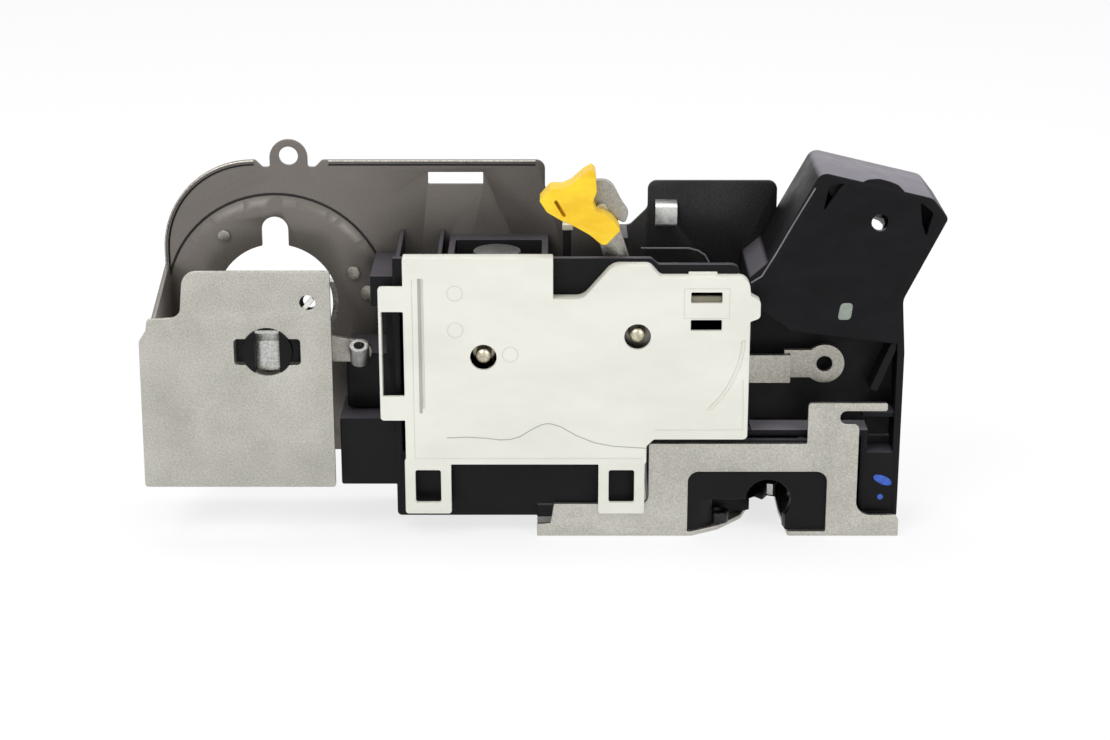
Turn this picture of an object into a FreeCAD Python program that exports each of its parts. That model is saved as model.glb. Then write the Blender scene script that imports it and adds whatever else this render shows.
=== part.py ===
import FreeCAD, Part
import math
import os
import Sketcher

# Vehicle door latch with its power lock actuator. Millimetres.
# The latch stands on its face plate as it does on a bench: +X runs along the carrier plate,
# +Y runs away from the white cover, +Z is up. Front faces look towards -Y.

SIZES = {
    # Depths, along Y, of the layers from the cover at the front to the carrier at the back
    "cover_front": -20.5,
    "cover_skin": 1.6,
    "case_rim_front": -15.0,
    "flange_front": -18.0,
    "latch_sheet": 1.6,
    "key_plate_front": -17.0,
    "key_plate_sheet": 1.5,
    "carrier_front": 18.0,
    "carrier_sheet": 1.5,
    "face_gap": 0.3,
    "running_gap": 0.06,

    # Carrier plate, black stamped steel
    "carrier_left": -126.1,
    "carrier_right": 79.0,
    "carrier_top": 119.7,
    "carrier_bottom": 17.1,
    "carrier_low_bottom": 10.0,
    "carrier_latch_bottom": 34.5,
    "carrier_corner_radius": 30.8,
    "carrier_small_radius": 3.0,
    "carrier_step_x": 1.7,
    "carrier_notch_bottom": 97.4,
    "carrier_tab_left": 35.9,
    "carrier_tab_top": 112.7,
    "ear_x": -83.4,
    "ear_z": 121.1,
    "ear_half_width": 6.3,
    "ear_top": 126.6,
    "ear_dip": 117.3,
    "ear_hole_radius": 3.15,
    "slot_left": -37.2,
    "slot_length": 18.3,
    "slot_bottom": 111.5,
    "slot_height": 4.1,
    "dish_x": -88.5,
    "dish_z": 70.9,
    "dish_radius": 37.0,
    "dish_inner_radius": 33.0,
    "dish_depth": 2.4,
    "dish_lap": 1.0,
    "lock_hole_radius": 20.5,
    "lock_notch_half_width": 4.4,
    "lock_notch_top": 100.9,
    "side_wall_bottom": 20.0,
    "side_wall_front_top": 75.3,
    "side_wall_back_top": 84.5,
    "collar_inner_radius": 18.4,
    "collar_outer_radius": 24.0,
    "collar_depth": 4.0,
    "collar_arc": 215.0,

    # Key cylinder cover plate, zinc plated steel
    "key_plate_left": -130.9,
    "key_plate_right": -67.6,
    "key_plate_bottom": 17.1,
    "key_plate_top": 91.6,
    "key_shoulder_x": -115.0,
    "key_shoulder_z": 76.0,
    "key_corner_radius": 5.0,
    "key_hub_x": -88.6,
    "key_hub_z": 64.3,
    "key_bore_radius": 8.2,
    "key_lobe_half_width": 10.8,
    "key_lobe_half_height": 4.4,
    "key_plate_hole_x": -75.0,
    "key_plate_hole_z": 81.0,
    "key_plate_hole_radius": 2.6,
    "standoff_radius": 3.5,
    "standoff_inset": 12.0,
    "standoff_tail": 2.0,
    "rivet_head_radius": 3.4,
    "rivet_head_height": 1.2,

    # Key follower
    "hub_jaw_radius": 10.4,
    "hub_jaw_half_height": 4.0,
    "hub_jaw_depth": 6.0,
    "hub_slot_half_width": 1.3,
    "hub_slot_half_length": 4.2,
    "tongue_width": 8.0,
    "tongue_height": 14.5,
    "tongue_sheet": 0.9,
    "key_arm_sheet": 2.0,
    "key_arm_tip_x": -58.8,
    "key_arm_tip_z": 62.0,
    "key_arm_tip_radius": 3.6,
    "eyelet_radius": 3.2,
    "eyelet_bore": 1.7,
    "eyelet_length": 7.0,

    # Actuator case, black moulding
    "case_wall": 2.2,
    "case_left": -47.5,
    "case_right": 67.0,
    "case_bottom": 6.2,
    "case_box_top": 84.0,
    "case_rim_top": 95.5,
    "case_rim_right_top": 93.4,
    "case_rim_depth": 2.6,
    "case_step_x": 34.4,
    "case_step_z": 33.9,
    "case_side_left": -64.0,
    "case_side_front": -5.0,
    "case_side_bottom": 41.0,
    "case_side_top": 60.0,
    "case_block_left": -55.0,
    "case_block_bottom": 78.5,
    "case_block_top": 88.7,
    "fin_sheet": 1.4,
    "fin_left_x": -46.6,
    "fin_pitch": 13.4,
    "fin_top": 96.2,
    "motor_bay_left": -30.0,
    "motor_bay_right": 2.8,
    "motor_bay_front": -11.5,
    "motor_bay_back": 13.0,
    "motor_bay_floor": 64.6,
    "motor_bay_top": 94.4,
    "post_x": 7.6,
    "post_width": 2.7,
    "post_y": 8.0,
    "post_top": 99.0,
    "guide_block_left": 24.8,
    "guide_block_right": 29.0,
    "guide_block_top": 97.5,
    "lever_slot_left": 21.0,
    "lever_slot_right": 39.5,
    "screw_boss_radius": 4.2,

    # Connector socket on the case
    "socket_left": -66.0,
    "socket_right": -47.5,
    "socket_bottom": 16.6,
    "socket_top": 40.0,
    "socket_front": -13.0,
    "socket_back": 10.0,
    "socket_wall": 1.8,
    "socket_depth": 13.0,
    "terminal_pitch": 4.0,
    "terminal_count": 4,
    "terminal_size": 0.8,

    # White actuator cover
    "cover_left": -44.0,
    "cover_top": 97.0,
    "cover_notch_left": 4.4,
    "cover_notch_right": 11.0,
    "cover_notch_z": 83.4,
    "hump_top": 94.4,
    "hump_x": 29.5,
    "hump_radius": 12.0,
    "cover_right_top": 90.4,
    "cover_right": 68.0,
    "cover_right_bottom": 35.2,
    "cover_step_x": 37.4,
    "cover_bottom": 26.4,
    "cover_wall": 2.0,
    "loop_bottom": 9.0,
    "loop_left_x": -44.4,
    "loop_right_x": 19.3,
    "loop_width": 15.2,
    "loop_arm": 3.4,
    "loop_window_bottom": 13.0,
    "loop_window_top": 24.4,
    "hook_left": -52.0,
    "hook_high_z": 83.2,
    "hook_low_z": 46.0,
    "hook_height": 8.4,
    "hook_strip": 0.9,
    "groove_width": 1.2,
    "groove_depth": 0.5,
    "groove_x": -38.6,
    "groove_bottom": 46.0,
    "groove_top": 90.0,
    "arc_groove_radius": 34.3,
    "arc_groove_start": -2.0,
    "arc_groove_end": -47.0,
    "window_left": 48.8,
    "window_width": 10.0,
    "window_height": 3.6,
    "window_high_z": 82.0,
    "window_low_z": 72.7,
    "ear_bump_z": 79.7,
    "ear_bump_radius": 4.0,

    # Pins seen through the cover
    "stud_x": -18.2,
    "stud_z": 63.6,
    "pivot_x": 31.7,
    "pivot_z": 70.6,
    "pin_radius": 2.5,
    "cover_hole_radius": 4.3,

    # Motor, worm and gear
    "motor_x": -14.0,
    "motor_y": -1.0,
    "motor_radius": 8.6,
    "motor_flat": 7.6,
    "motor_length": 25.0,
    "motor_cap_height": 2.4,
    "shaft_radius": 1.0,
    "worm_root_radius": 3.0,
    "worm_outer_radius": 4.6,
    "worm_top": 59.4,
    "worm_length": 18.0,
    "gear_module": 1.0,
    "gear_teeth": 27,
    "gear_width": 4.0,
    "gear_front": -3.0,
    "gear_z": 50.0,
    "mesh_gap": 0.25,
    "gear_peg_radius": 1.6,
    "gear_peg_offset": 8.6,
    "gear_peg_angle": -38.0,
    "gear_hub_radius": 4.0,

    # Lock lever and rod clip
    "lock_lever_front": -9.0,
    "lock_lever_sheet": 2.0,
    "lock_tip_x": 20.0,
    "lock_tip_z": 111.0,
    "lock_tip_radius": 5.0,
    "lever_hub_radius": 6.5,
    "fork_slot_half_width": 2.1,
    "clip_pin_radius": 1.8,
    "clip_tilt": -40.0,
    "clip_length": 21.0,
    "clip_height": 10.0,
    "clip_depth": 9.0,
    "clip_jaw_length": 9.0,

    # Release lever
    "release_front": -13.4,
    "release_sheet": 2.0,
    "release_joggle": 1.6,
    "release_arm_height": 9.6,
    "release_joggle_x": 82.2,
    "release_eye_x": 93.5,
    "release_eye_z": 58.2,
    "release_eye_radius": 6.6,
    "release_eye_bore": 2.6,
    "release_low_z": 57.2,

    # Latch frame with the raised arm, black moulding
    "frame_wall": 2.4,
    "frame_front": -14.0,
    "frame_right": 119.2,
    "frame_bottom": 5.0,
    "frame_base_z": 33.9,
    "arm_foot_z": 88.0,
    "arm_bend_x": 73.6,
    "arm_bend_z": 93.8,
    "arm_top_left_x": 89.8,
    "arm_top_left_z": 123.8,
    "arm_top_right_x": 125.8,
    "arm_top_right_z": 115.2,
    "arm_nose_x": 131.2,
    "arm_nose_z": 108.4,
    "arm_waist_z": 81.0,
    "arm_waist_x": 117.9,
    "web_front": -5.0,
    "web_sheet": 2.4,
    "arm_hole_x": 109.3,
    "arm_hole_z": 107.4,
    "arm_hole_radius": 2.75,
    "arm_boss_radius": 5.6,
    "arm_pin_x": 99.6,
    "arm_pin_z": 74.6,
    "arm_pin_radius": 2.6,
    "recess_left": 105.8,
    "recess_bottom": 31.0,
    "recess_height": 11.0,

    # Latch face plate and front flange, zinc plated steel
    "foot_left": -1.0,
    "foot_top": 11.5,
    "foot_depth": 24.0,
    "leg_left": 35.9,
    "plate_right": 119.3,
    "plate_back": 46.0,
    "bar_top": 32.8,
    "gate_left": 49.0,
    "gate_right": 95.0,
    "gate_top": 22.9,
    "gate_radius": 3.6,
    "post_left": 88.0,
    "post_right": 105.0,
    "tongue_top": 47.0,
    "tongue_bottom": 44.2,
    "tongue_right": 114.0,
    "slot_end_x": 98.6,
    "heel_top": 7.5,
    "mouth_left": 50.4,
    "mouth_front_right": 82.4,
    "throat_left": 70.6,
    "throat_right": 81.0,
    "throat_back": 30.0,
    "mouth_bend_y": 2.0,
    "fixing_radius": 2.5,
    "fixing_front_y": 2.0,
    "fixing_back_y": 38.0,
    "fixing_left_x": 16.0,
    "fixing_left_y": -6.0,
    "fixing_right_x": 112.0,
    "fixing_boss_radius": 4.6,
    "fixing_top": 4.6,

    # Latch case over the claw and pawl, black moulding
    "latch_case_left": 36.4,
    "latch_case_right": 104.4,
    "latch_case_top": 33.6,
    "latch_case_back": 45.6,
    "pocket_top": 12.4,
    "pocket_left": 41.0,
    "pocket_right": 101.6,
    "pocket_front": -12.0,
    "pocket_back": 43.4,
    "arch_radius": 7.6,

    # Claw and pawl
    "claw_x": 60.0,
    "claw_y": 20.0,
    "claw_bottom": 2.4,
    "claw_sheet": 4.0,
    "claw_radius": 22.5,
    "claw_notch_radius": 19.5,
    "claw_notch_angle": 27.0,
    "claw_hub_radius": 9.5,
    "claw_open_angle": -48.0,
    "striker_radius": 4.8,
    "throat_reach": 16.0,
    "claw_skin": 0.9,
    "claw_rivet_radius": 4.0,
    "pawl_x": 90.5,
    "pawl_y": 12.0,
    "pawl_nose_angle": 22.0,
    "pawl_gap": 1.2,
    "pawl_sheet": 5.0,
    "pawl_hub_radius": 5.6,
    "pawl_rivet_radius": 3.2,
    "front_rivet_x": 60.0,
    "front_rivet_y": -8.4,
    "front_rivet_radius": 3.4,
    "front_rivet_top": 5.4,
    "spring_wire": 0.6,
    "spring_turns": 2.0,

    # Small parts
    "switch_x": -40.5,
    "switch_z": 55.0,
    "switch_width": 6.4,
    "switch_height": 13.0,
    "switch_depth": 6.0,
    "clip_bridge_x": 38.4,
    "clip_bridge_z": 96.6,
    "clip_bridge_width": 7.3,
    "clip_bridge_height": 9.8,
    "clip_bridge_rise": 3.2,
    "clip_bridge_sheet": 0.8,
    "case_screw_radius": 1.9,
    "case_screw_head": 3.6,
    "case_screw_head_height": 2.0,
    "case_screw_length": 12.0,
}

document = FreeCAD.newDocument("DoorLatchActuator")
sheet = document.addObject("Spreadsheet::Sheet", "Sizes")
for row, (alias, number) in enumerate(SIZES.items(), start=1):
    sheet.set("A%d" % row, alias)
    sheet.set("B%d" % row, str(number))
    sheet.setAlias("B%d" % row, alias)
document.recompute()


class SheetValues:
    """Reads a size from the sheet by its alias."""

    def __getattr__(self, alias):
        return float(sheet.get(alias))


size = SheetValues()
sub_parts = []


def vector(x, y, z=0.0):
    return FreeCAD.Vector(x, y, z)


def bind(target, path, formula):
    """Ties a property to sheet cells. Names in the formula are aliases of the sheet."""
    words = []
    word = ""
    for letter in formula + " ":
        if letter.isalnum() or letter == "_":
            word += letter
            continue
        words.append("Sizes." + word if word in SIZES else word)
        words.append(letter)
        word = ""
    target.setExpression(path, "".join(words).strip())


def rounded_outline(corners):
    """Edges of a closed outline. A corner is (x, y) or (x, y, fillet radius)."""
    count = len(corners)
    entries = []
    for index, corner in enumerate(corners):
        here = vector(corner[0], corner[1])
        radius = corner[2] if len(corner) > 2 else 0.0
        before = vector(*corners[index - 1][:2])
        after = vector(*corners[(index + 1) % count][:2])
        to_before = (before - here).normalize()
        to_after = (after - here).normalize()
        half_angle = to_before.getAngle(to_after) / 2.0
        if radius <= 0.0 or half_angle > math.pi / 2.0 - 0.01:
            entries.append((here, here, None))
            continue
        reach = radius / math.tan(half_angle)
        start = here + to_before * reach
        end = here + to_after * reach
        centre = here + (to_before + to_after).normalize() * (radius / math.sin(half_angle))
        middle = centre + (here - centre).normalize() * radius
        entries.append((start, end, middle))
    edges = []
    for index, (start, end, middle) in enumerate(entries):
        if middle is not None:
            edges.append(Part.Arc(start, middle, end))
        following = entries[(index + 1) % count][0]
        if (following - end).Length > 1e-4:
            edges.append(Part.LineSegment(end, following))
    return edges


def plane_of(body, role):
    for feature in body.Origin.OriginFeatures:
        if feature.Role == role:
            return feature
    raise ValueError(role)


def new_body(label):
    body = document.addObject("PartDesign::Body", label)
    body.Label = label
    sub_parts.append(body)
    return body


def new_sketch(body, name, role, offset):
    """Sketch parallel to an origin plane; the offset is a formula along the plane's normal."""
    sketch = body.newObject("Sketcher::SketchObject", name)
    sketch.AttachmentSupport = [(plane_of(body, role), "")]
    sketch.MapMode = "FlatFace"
    bind(sketch, "AttachmentOffset.Base.z", offset)
    return sketch


def front_sketch(body, name, depth):
    """Front view sketch (X right, Z up) at a depth; pads run towards the front."""
    return new_sketch(body, name, "XZ_Plane", "-(%s)" % depth)


def plan_sketch(body, name, height):
    """Plan view sketch (X right, Y away) at a height; pads run upwards."""
    return new_sketch(body, name, "XY_Plane", height)


def side_sketch(body, name, x_place):
    """Side view sketch (Y right, Z up) at an X place; pads run towards +X."""
    return new_sketch(body, name, "YZ_Plane", x_place)


def end_numbers(sketch, index, start):
    """Point numbers of an edge's start and end. The sketch swaps them on a clockwise arc."""
    if sketch.getPoint(index, 1).distanceToPoint(start) < 1e-6:
        return 1, 2
    return 2, 1


def draw(sketch, corners):
    first = sketch.GeometryCount
    edges = rounded_outline(corners)
    sketch.addGeometry(edges, False)
    ends = []
    for step, edge in enumerate(edges):
        ends.append(end_numbers(sketch, first + step, edge.StartPoint))
    for step in range(len(edges)):
        following = (step + 1) % len(edges)
        constraint = Sketcher.Constraint("Coincident", first + step, ends[step][1], first + following,
                                         ends[following][0])
        sketch.addConstraint(constraint)


def draw_box(sketch, left, low, right, high, radius=0.0):
    draw(sketch, [(left, low, radius), (right, low, radius), (right, high, radius), (left, high, radius)])


def draw_circle(sketch, x_formula, y_formula, radius_formula):
    """Circle whose centre and radius follow the sheet. A centre may be a plain number."""
    index = sketch.addGeometry(Part.Circle(vector(1.0, 1.0), vector(0.0, 0.0, 1.0), 2.0), False)
    places = (("DistanceX", x_formula), ("DistanceY", y_formula))
    for kind, formula in places:
        constraint = sketch.addConstraint(Sketcher.Constraint(kind, -1, 1, index, 3, 1.0))
        bind(sketch, "Constraints[%d]" % constraint, str(formula))
    constraint = sketch.addConstraint(Sketcher.Constraint("Radius", index, 2.0))
    bind(sketch, "Constraints[%d]" % constraint, str(radius_formula))
    return index


def pad(body, sketch, length, name="Pad"):
    feature = body.newObject("PartDesign::Pad", name)
    feature.Profile = sketch
    bind(feature, "Length", length)
    sketch.Visibility = False
    return feature


def pocket(body, sketch, length, name="Pocket", reverse=False):
    """Cuts against the sketch's normal: backwards from a front sketch, down from a plan sketch."""
    feature = body.newObject("PartDesign::Pocket", name)
    feature.Profile = sketch
    feature.Type = "Length"
    bind(feature, "Length", length)
    feature.Reversed = reverse
    sketch.Visibility = False
    return feature


def revolve(body, sketch, axis):
    feature = body.newObject("PartDesign::Revolution", "Revolution")
    feature.Profile = sketch
    feature.ReferenceAxis = (sketch, [axis])
    feature.Angle = 360.0
    return feature


def plain_part(label, shape):
    """Sub-part whose form is worked out by shape functions, with its size read from the sheet."""
    feature = document.addObject("Part::Feature", label)
    feature.Label = label
    feature.Shape = shape
    sub_parts.append(feature)
    return feature


def prism(corners, origin, x_axis, y_axis, length):
    """Solid from an outline drawn on two axes and pushed along their cross product."""
    edges = []
    for edge in rounded_outline(corners):
        edges.append(edge.toShape())
    face = Part.Face(Part.Wire(Part.__sortEdges__(edges)))
    normal = x_axis.cross(y_axis)
    turn = FreeCAD.Rotation(x_axis, y_axis, normal, "XYZ")
    face.Placement = FreeCAD.Placement(origin, turn)
    return face.extrude(normal * length)


RIGHT = vector(1, 0, 0)
BACK = vector(0, 1, 0)
UP = vector(0, 0, 1)
FRONT = vector(0, -1, 0)


def front_prism(corners, back, thickness):
    """Outline in the front view, from a depth towards the front."""
    return prism(corners, vector(0, back, 0), RIGHT, UP, thickness)


def plan_prism(corners, bottom, height):
    return prism(corners, vector(0, 0, bottom), RIGHT, BACK, height)


def pin_y(x, z, radius, front, back):
    return Part.makeCylinder(radius, back - front, vector(x, front, z), BACK)


def pin_z(x, y, radius, bottom, top):
    return Part.makeCylinder(radius, top - bottom, vector(x, y, bottom), UP)


def block(left, right, front, back, bottom, top):
    return Part.makeBox(right - left, back - front, top - bottom, vector(left, front, bottom))


def spring_coil(centre, axis, coil_radius, pitch, turns, wire_radius):
    """Helical wire between flat-cut ends."""
    helix = Part.makeHelix(pitch, pitch * turns, coil_radius)
    profile = Part.Wire(Part.makeCircle(wire_radius, vector(coil_radius, 0, 0), vector(0, 1, 0)))
    wire = Part.Wire(helix).makePipeShell([profile], True, True)
    wire.Placement = FreeCAD.Placement(centre, FreeCAD.Rotation(UP, axis))
    return wire


def key_plate_back():
    return size.key_plate_front + size.key_plate_sheet


def carrier_back():
    return size.carrier_front + size.carrier_sheet


def flange_back():
    return size.flange_front + size.latch_sheet


def case_screw_places():
    """X and Z of the screws that hold the actuator case to the carrier plate."""
    inset = size.case_wall / 2.0 + size.screw_boss_radius
    left = size.case_left + inset
    low = size.case_bottom + inset
    high = size.case_box_top - inset
    return [
        (left, low),
        (size.case_step_x - inset, low),
        (left, high),
        (size.case_right - inset, high),
    ]


def standoff_places():
    low = size.key_plate_bottom + size.standoff_inset
    return [
        (size.key_plate_left + size.standoff_inset, low),
        (size.key_plate_right - size.standoff_inset, low),
    ]


def carrier_outline():
    left = size.carrier_left
    right = size.carrier_right
    top = size.carrier_top
    small = size.carrier_small_radius
    ear_left = size.ear_x - size.ear_half_width
    ear_right = size.ear_x + size.ear_half_width
    dip = top - size.ear_dip
    return [
        (left, size.carrier_bottom, small),
        (size.socket_left, size.carrier_bottom, small),
        (size.case_left, size.carrier_low_bottom, small),
        (size.case_step_x - small, size.carrier_low_bottom, small),
        (size.case_step_x, size.carrier_latch_bottom, small),
        (right, size.carrier_latch_bottom, small),
        (right, size.carrier_tab_top, small),
        (size.carrier_tab_left, size.carrier_tab_top, small),
        (size.carrier_tab_left, size.carrier_notch_bottom + 2.0 * small, small),
        (size.carrier_tab_left - 2.0 * small, size.carrier_notch_bottom, small),
        (size.guide_block_left, size.carrier_notch_bottom, small),
        (size.carrier_step_x + 2.0 * small, size.carrier_notch_bottom + 3.0 * small, small),
        (size.carrier_step_x, size.carrier_notch_bottom + 4.0 * small, small),
        (size.carrier_step_x, top, small),
        (ear_right + 2.0 * dip, top, dip / 2.0),
        (ear_right + dip, size.ear_dip, dip / 3.0),
        (ear_right, size.ear_dip, dip / 3.0),
        (ear_right, size.ear_top, size.ear_half_width - 0.1),
        (ear_left, size.ear_top, size.ear_half_width - 0.1),
        (ear_left, size.ear_dip, dip / 3.0),
        (ear_left - dip, size.ear_dip, dip / 3.0),
        (ear_left - 2.0 * dip, top, dip / 2.0),
        (left, top, size.carrier_corner_radius),
    ]


def make_carrier_plate():
    body = new_body("carrier_plate")
    outline = front_sketch(body, "Outline", "carrier_front + carrier_sheet")
    draw(outline, carrier_outline())
    pad(body, outline, "carrier_sheet")

    openings = front_sketch(body, "Openings", "carrier_front")
    draw_circle(openings, "ear_x", "ear_z", "ear_hole_radius")
    draw_circle(openings, "dish_x", "dish_z", "dish_radius")
    slot_right = size.slot_left + size.slot_length
    draw_box(openings, size.slot_left, size.slot_bottom, slot_right, size.slot_bottom + size.slot_height)
    for x, z in case_screw_places():
        draw_circle(openings, x, z, "case_screw_radius")
    for x, z in standoff_places():
        draw_circle(openings, x, z, "standoff_tail")
    pocket(body, openings, "carrier_sheet")

    dish = side_sketch(body, "DishSection", "dish_x")
    front = size.carrier_front
    back = carrier_back()
    hub = size.dish_z + size.lock_hole_radius / 2.0
    draw(dish, [
        (front, size.dish_z + size.dish_radius + size.dish_lap),
        (front, size.dish_z + size.dish_radius),
        (front - size.dish_depth, size.dish_z + size.dish_inner_radius),
        (front - size.dish_depth, hub),
        (back - size.dish_depth, hub),
        (back - size.dish_depth, size.dish_z + size.dish_inner_radius),
        (back, size.dish_z + size.dish_radius),
        (back, size.dish_z + size.dish_radius + size.dish_lap),
    ])
    dish.addGeometry(Part.LineSegment(vector(0, size.dish_z), vector(10, size.dish_z)), True)
    revolve(body, dish, "Axis0")

    keyhole = front_sketch(body, "LockHole", "carrier_front - dish_depth")
    notch = size.lock_notch_half_width
    reach = math.sqrt(size.lock_hole_radius ** 2 - notch ** 2)
    middle = vector(size.dish_x, size.dish_z)
    left_join = middle + vector(-notch, reach)
    right_join = middle + vector(notch, reach)
    top_z = size.lock_notch_top
    loop = [
        Part.Arc(left_join, middle + vector(0, -size.lock_hole_radius), right_join),
        Part.LineSegment(right_join, vector(size.dish_x + notch, top_z - notch)),
        Part.Arc(vector(size.dish_x + notch, top_z - notch), vector(size.dish_x, top_z),
                 vector(size.dish_x - notch, top_z - notch)),
        Part.LineSegment(vector(size.dish_x - notch, top_z - notch), left_join),
    ]
    keyhole.addGeometry(loop, False)
    pocket(body, keyhole, "carrier_sheet + dish_depth")

    wall = side_sketch(body, "SideWall", "carrier_left")
    draw(wall, [
        (key_plate_back(), size.side_wall_bottom),
        (back, size.side_wall_bottom),
        (back, size.side_wall_back_top),
        (key_plate_back(), size.side_wall_front_top),
    ])
    pad(body, wall, "carrier_sheet", "SideWallPad")

    shelf = plan_sketch(body, "LatchShelf", "carrier_latch_bottom")
    shelf_left = size.case_step_x + 2.0 * size.carrier_small_radius
    draw(shelf, [
        (shelf_left, size.carrier_front),
        (size.carrier_right - size.carrier_small_radius, size.carrier_front),
        (size.carrier_right - size.carrier_small_radius, size.latch_case_back - 6.0, 5.0),
        (shelf_left, size.latch_case_back - 6.0, 5.0),
    ])
    pad(body, shelf, "carrier_sheet", "LatchShelfPad")


def key_plate_outline():
    left = size.key_plate_left
    right = size.key_plate_right
    shoulder = size.key_shoulder_z
    return [
        (left, size.key_plate_bottom, 1.0),
        (right, size.key_plate_bottom, 1.0),
        (right, size.key_plate_top, 0.8),
        (size.key_shoulder_x, size.key_plate_top, size.key_corner_radius),
        (size.key_shoulder_x - 1.6, shoulder, 3.5),
        (left + 3.6, shoulder - 0.7, 1.0),
        (left + 3.0, shoulder - 4.5, 1.5),
        (left + 0.6, shoulder - 8.2, 2.0),
    ]


def make_key_cover_plate():
    body = new_body("key_cover_plate")
    outline = front_sketch(body, "Outline", "key_plate_front + key_plate_sheet")
    draw(outline, key_plate_outline())
    pad(body, outline, "key_plate_sheet")
    hole = front_sketch(body, "Holes", "key_plate_front")
    draw_circle(hole, "key_plate_hole_x", "key_plate_hole_z", "key_plate_hole_radius")
    draw_circle(hole, "key_hub_x", "key_hub_z", "key_bore_radius")
    pocket(body, hole, "key_plate_sheet")
    lobes = front_sketch(body, "Lobes", "key_plate_front")
    draw_box(lobes, size.key_hub_x - size.key_lobe_half_width, size.key_hub_z - size.key_lobe_half_height,
             size.key_hub_x + size.key_lobe_half_width, size.key_hub_z + size.key_lobe_half_height, 1.2)
    pocket(body, lobes, "key_plate_sheet")


def make_plate_standoffs():
    solids = []
    for x, z in standoff_places():
        post = pin_y(x, z, size.standoff_radius, key_plate_back(), size.carrier_front)
        tail = pin_y(x, z, size.standoff_tail, size.carrier_front, carrier_back())
        head = pin_y(x, z, size.rivet_head_radius, carrier_back(), carrier_back() + size.rivet_head_height)
        solids.append(post.fuse(tail).fuse(head).removeSplitter())
    plain_part("plate_standoffs", Part.makeCompound(solids))


def make_lock_collar():
    """Open ring behind the lock hole; its gap faces up, where the hole's notch is."""
    front = carrier_back() - size.dish_depth
    ring = pin_y(size.dish_x, size.dish_z, size.collar_outer_radius, front, front + size.collar_depth)
    ring = ring.cut(pin_y(size.dish_x, size.dish_z, size.collar_inner_radius, front, front + size.collar_depth))
    rise = size.collar_outer_radius * math.cos(math.radians(size.collar_arc / 2.0))
    low = size.dish_z - size.collar_outer_radius
    keep = block(size.dish_x - size.collar_outer_radius, size.dish_x + size.collar_outer_radius,
                 front, front + size.collar_depth, low, size.dish_z - rise)
    plain_part("lock_collar", ring.common(keep))


def make_cable_clip():
    front = size.carrier_front
    low = size.clip_bridge_z
    high = low + size.clip_bridge_height
    rise = size.clip_bridge_rise
    sheet_size = size.clip_bridge_sheet
    section = [
        (front, low),
        (front - rise, low + rise / 2.0, 0.8),
        (front - rise, high - rise / 2.0, 0.8),
        (front, high),
        (front, high - 1.4 * sheet_size),
        (front - rise + sheet_size, high - rise / 2.0 - sheet_size / 2.0),
        (front - rise + sheet_size, low + rise / 2.0 + sheet_size / 2.0),
        (front, low + 1.4 * sheet_size),
    ]
    origin = vector(size.clip_bridge_x, 0, 0)
    plain_part("cable_clip", prism(section, origin, BACK, UP, size.clip_bridge_width))


def make_carrier_rivets():
    front = size.carrier_front - size.dish_depth
    spots = [(-17.0, 23.7, 2.0), (25.8, 10.8, 2.3), (30.7, 3.8, 2.6)]
    solids = []
    for across, up, radius in spots:
        head = pin_y(size.dish_x + across, size.dish_z + up, radius, front - size.rivet_head_height, front)
        solids.append(head)
    plain_part("carrier_rivets", Part.makeCompound(solids))


def make_key_hub():
    """Follower behind the key hole: a round journal in the plate, two jaws and a blade slot."""
    x = size.key_hub_x
    z = size.key_hub_z
    jaw_front = key_plate_back() + size.face_gap
    jaw_back = jaw_front + size.hub_jaw_depth
    journal = pin_y(x, z, size.key_bore_radius - size.running_gap, size.key_plate_front - 0.4, jaw_back)
    jaws = block(x - size.hub_jaw_radius, x + size.hub_jaw_radius, jaw_front, jaw_back,
                 z - size.hub_jaw_half_height, z + size.hub_jaw_half_height)
    hub = journal.fuse(jaws)
    window = block(x - size.tongue_width / 2.0, x + size.tongue_width / 2.0, size.key_plate_front - 1.0,
                   jaw_front + 2.0, z - size.key_bore_radius, z + size.key_bore_radius)
    hub = hub.cut(window)
    blade = block(x - size.hub_slot_half_width, x + size.hub_slot_half_width, jaw_front,
                  jaw_back, z - size.hub_slot_half_length, z + size.hub_slot_half_length)
    plain_part("key_hub", hub.cut(blade).removeSplitter())


def make_key_tongue():
    """Bent strip across the follower's window."""
    x = size.key_hub_x
    z = size.key_hub_z
    back = key_plate_back() + size.face_gap + 2.0
    half = size.tongue_height / 2.0
    thick = size.tongue_sheet
    section = [
        (back, z - half),
        (back, z + half * 0.5, 0.8),
        (back - 2.6, z + half, 0.8),
        (back - 2.6 - thick, z + half),
        (back - 2.6 - thick, z + half - thick, 0.5),
        (back - thick, z + half * 0.4, 0.8),
        (back - thick, z - half),
    ]
    width = size.tongue_width - 2.0 * size.running_gap
    strip = prism(section, vector(x - width / 2.0, 0, 0), BACK, UP, width)
    plain_part("key_tongue", strip)


def make_key_lever():
    back = key_plate_back() + size.face_gap + size.hub_jaw_depth + size.key_arm_sheet
    tip_x = size.key_arm_tip_x
    tip_z = size.key_arm_tip_z
    half = size.key_arm_tip_radius
    arm = front_prism([
        (size.key_hub_x, size.key_hub_z + 6.0),
        (size.key_hub_x, size.key_hub_z - 6.0),
        (tip_x, tip_z - half),
        (tip_x, tip_z + half),
    ], back, size.key_arm_sheet)
    arm = arm.fuse(pin_y(tip_x, tip_z, half, back - size.key_arm_sheet, back))
    arm = arm.fuse(pin_y(size.key_hub_x, size.key_hub_z, size.key_bore_radius, back - size.key_arm_sheet, back))
    plain_part("key_lever", arm.removeSplitter())


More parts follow.
